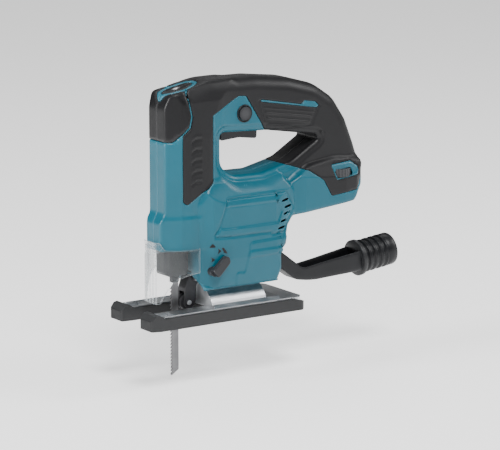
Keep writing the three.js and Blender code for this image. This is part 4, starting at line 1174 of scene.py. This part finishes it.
@dataclass(frozen=True)
class Trim:
    """Small parts of their own: the shoe plate's bright edges and the lock button's dark seat.

    Attributes:
        front: where the edges start along X.
        rear: where they end.
        side: how far out they lie.
        height: how high they lie.
        seat: X and Z of the button, and the seat's radius.
        seat_out: how far out the seat lies.
    """

    front: float = -63.5
    rear: float = 62.5
    side: float = 31.2
    height: float = 10.9
    seat: tuple[float, float, float] = (23.8, 166.6, 6.7)
    seat_out: float = -17.1

    def edge(self, side: int) -> Skin:
        """A rounded bar along X: its section is an ellipse 1.7 by 1.1 mm."""
        turn = np.linspace(0, 2 * np.pi, 16, endpoint=False)
        x = np.linspace(self.front, self.rear, 60)[:, None]
        y = side * self.side + 0.85 * np.cos(turn)
        z = self.height + 0.55 * np.sin(turn)
        return tube(np.stack(np.broadcast_arrays(x, y, z), -1))

    def ring(self) -> Skin:
        """A ring about Y: a circle of radius 0.7 carried round the button."""
        x0, z0, radius = self.seat
        round_, turn = np.meshgrid(np.linspace(0, 2 * np.pi, 64, endpoint=False),
                                   np.linspace(0, 2 * np.pi, 14, endpoint=False), indexing="ij")
        reach = radius + 0.7 * np.cos(turn)
        rings = np.stack([x0 + reach * np.cos(round_), self.seat_out + 0.7 * np.sin(turn),
                          z0 + reach * np.sin(round_)], -1)
        return Skin.grid(np.concatenate([rings, rings[:1]]), closed=True).welded()

    def build(self) -> None:
        """Make the edges and the seat."""
        make_piece("plate_edges", self.edge(LEFT).joined(self.edge(RIGHT)), "shoe", ALLOY)
        make_piece("button_seat", self.ring(), "housing", CAP_BLACK)


@dataclass(frozen=True)
class TriggerSpring:
    """The spring over the trigger, which shortens as the trigger is pulled.

    Attributes:
        travel: how far the trigger moves, in millimetres; not used.
    """

    travel: float = 5.5

    def build(self) -> None:
        """Give the spring its own copy of its mesh."""
        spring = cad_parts["trigger_spring"]
        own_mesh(spring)


def dress_cad(finishes: dict[str, Finish]) -> None:
    """Give each kept CAD node its finish.

    Args:
        finishes: finish of each node by its name.
    """
    for name, finish in finishes.items():
        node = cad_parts[name]
        node.data.materials.clear()
        node.data.materials.append(finish.material())
        log.info("%s: %s", name, finish.name)


CAD_FINISHES = {
    "stator": CORE, "rotor": STEEL, "cooling_fan": DARK, "pinion": STEEL, "crank_gear": STEEL,
    "motor_bearing_front": STEEL, "motor_bearing_rear": STEEL, "gear_axle": STEEL,
    "gear_frame": ALLOY, "plunger_bush_upper": BRONZE, "plunger_bush_lower": BRONZE,
    "plunger": STEEL, "blade_clamp": BLACKENED, "saw_blade": BLADE_STEEL, "orbital_arm": BLACKENED,
    "arm_pivot_pin": STEEL, "blade_roller": BLACKENED, "roller_pin": STEEL, "orbit_lever": DARK,
    "blade_shroud": CAP_BLACK, "lamp_lens": CLEAR, "cover_plate": SHOE_BLACK,
    "base_plate": ALLOY, "base_saddle": ALLOY, "clamp_plate": STEEL, "clamp_bolt": BLACKENED,
    "trigger": DARK, "trigger_spring": STEEL, "switch_body": DARK,
    "lock_button": DARK, "speed_dial": DARK, "controller_board": BOARD, "terminal_block": DARK,
    **{f"housing_screw_{i}": STEEL for i in range(1, 6)},
}


def main() -> None:
    """Build the camera, the studio and each sub-assembly in order."""
    logging.basicConfig(level=logging.INFO, format="%(message)s")
    Camera().build()
    Studio().build()
    Housing().build(Clamshell().surface())
    Nozzle(
        bottom=((46, 40), (65.7, 31.6), (82.3, 19), (95, 17), (104, 16.6), (140, 18.6), (150, 19.4)),
        top=((46, 52.6), (58, 49.5), (65.7, 45.8), (88.7, 28.3), (140, 35.6), (150, 37)),
        half=((46, 9), (110, 9), (150, 11.5)),
    ).build()
    Cover().build()
    Trim().build()
    dress_cad(CAD_FINISHES)
    TriggerSpring().build()


if __name__ == "__main__":
    main()
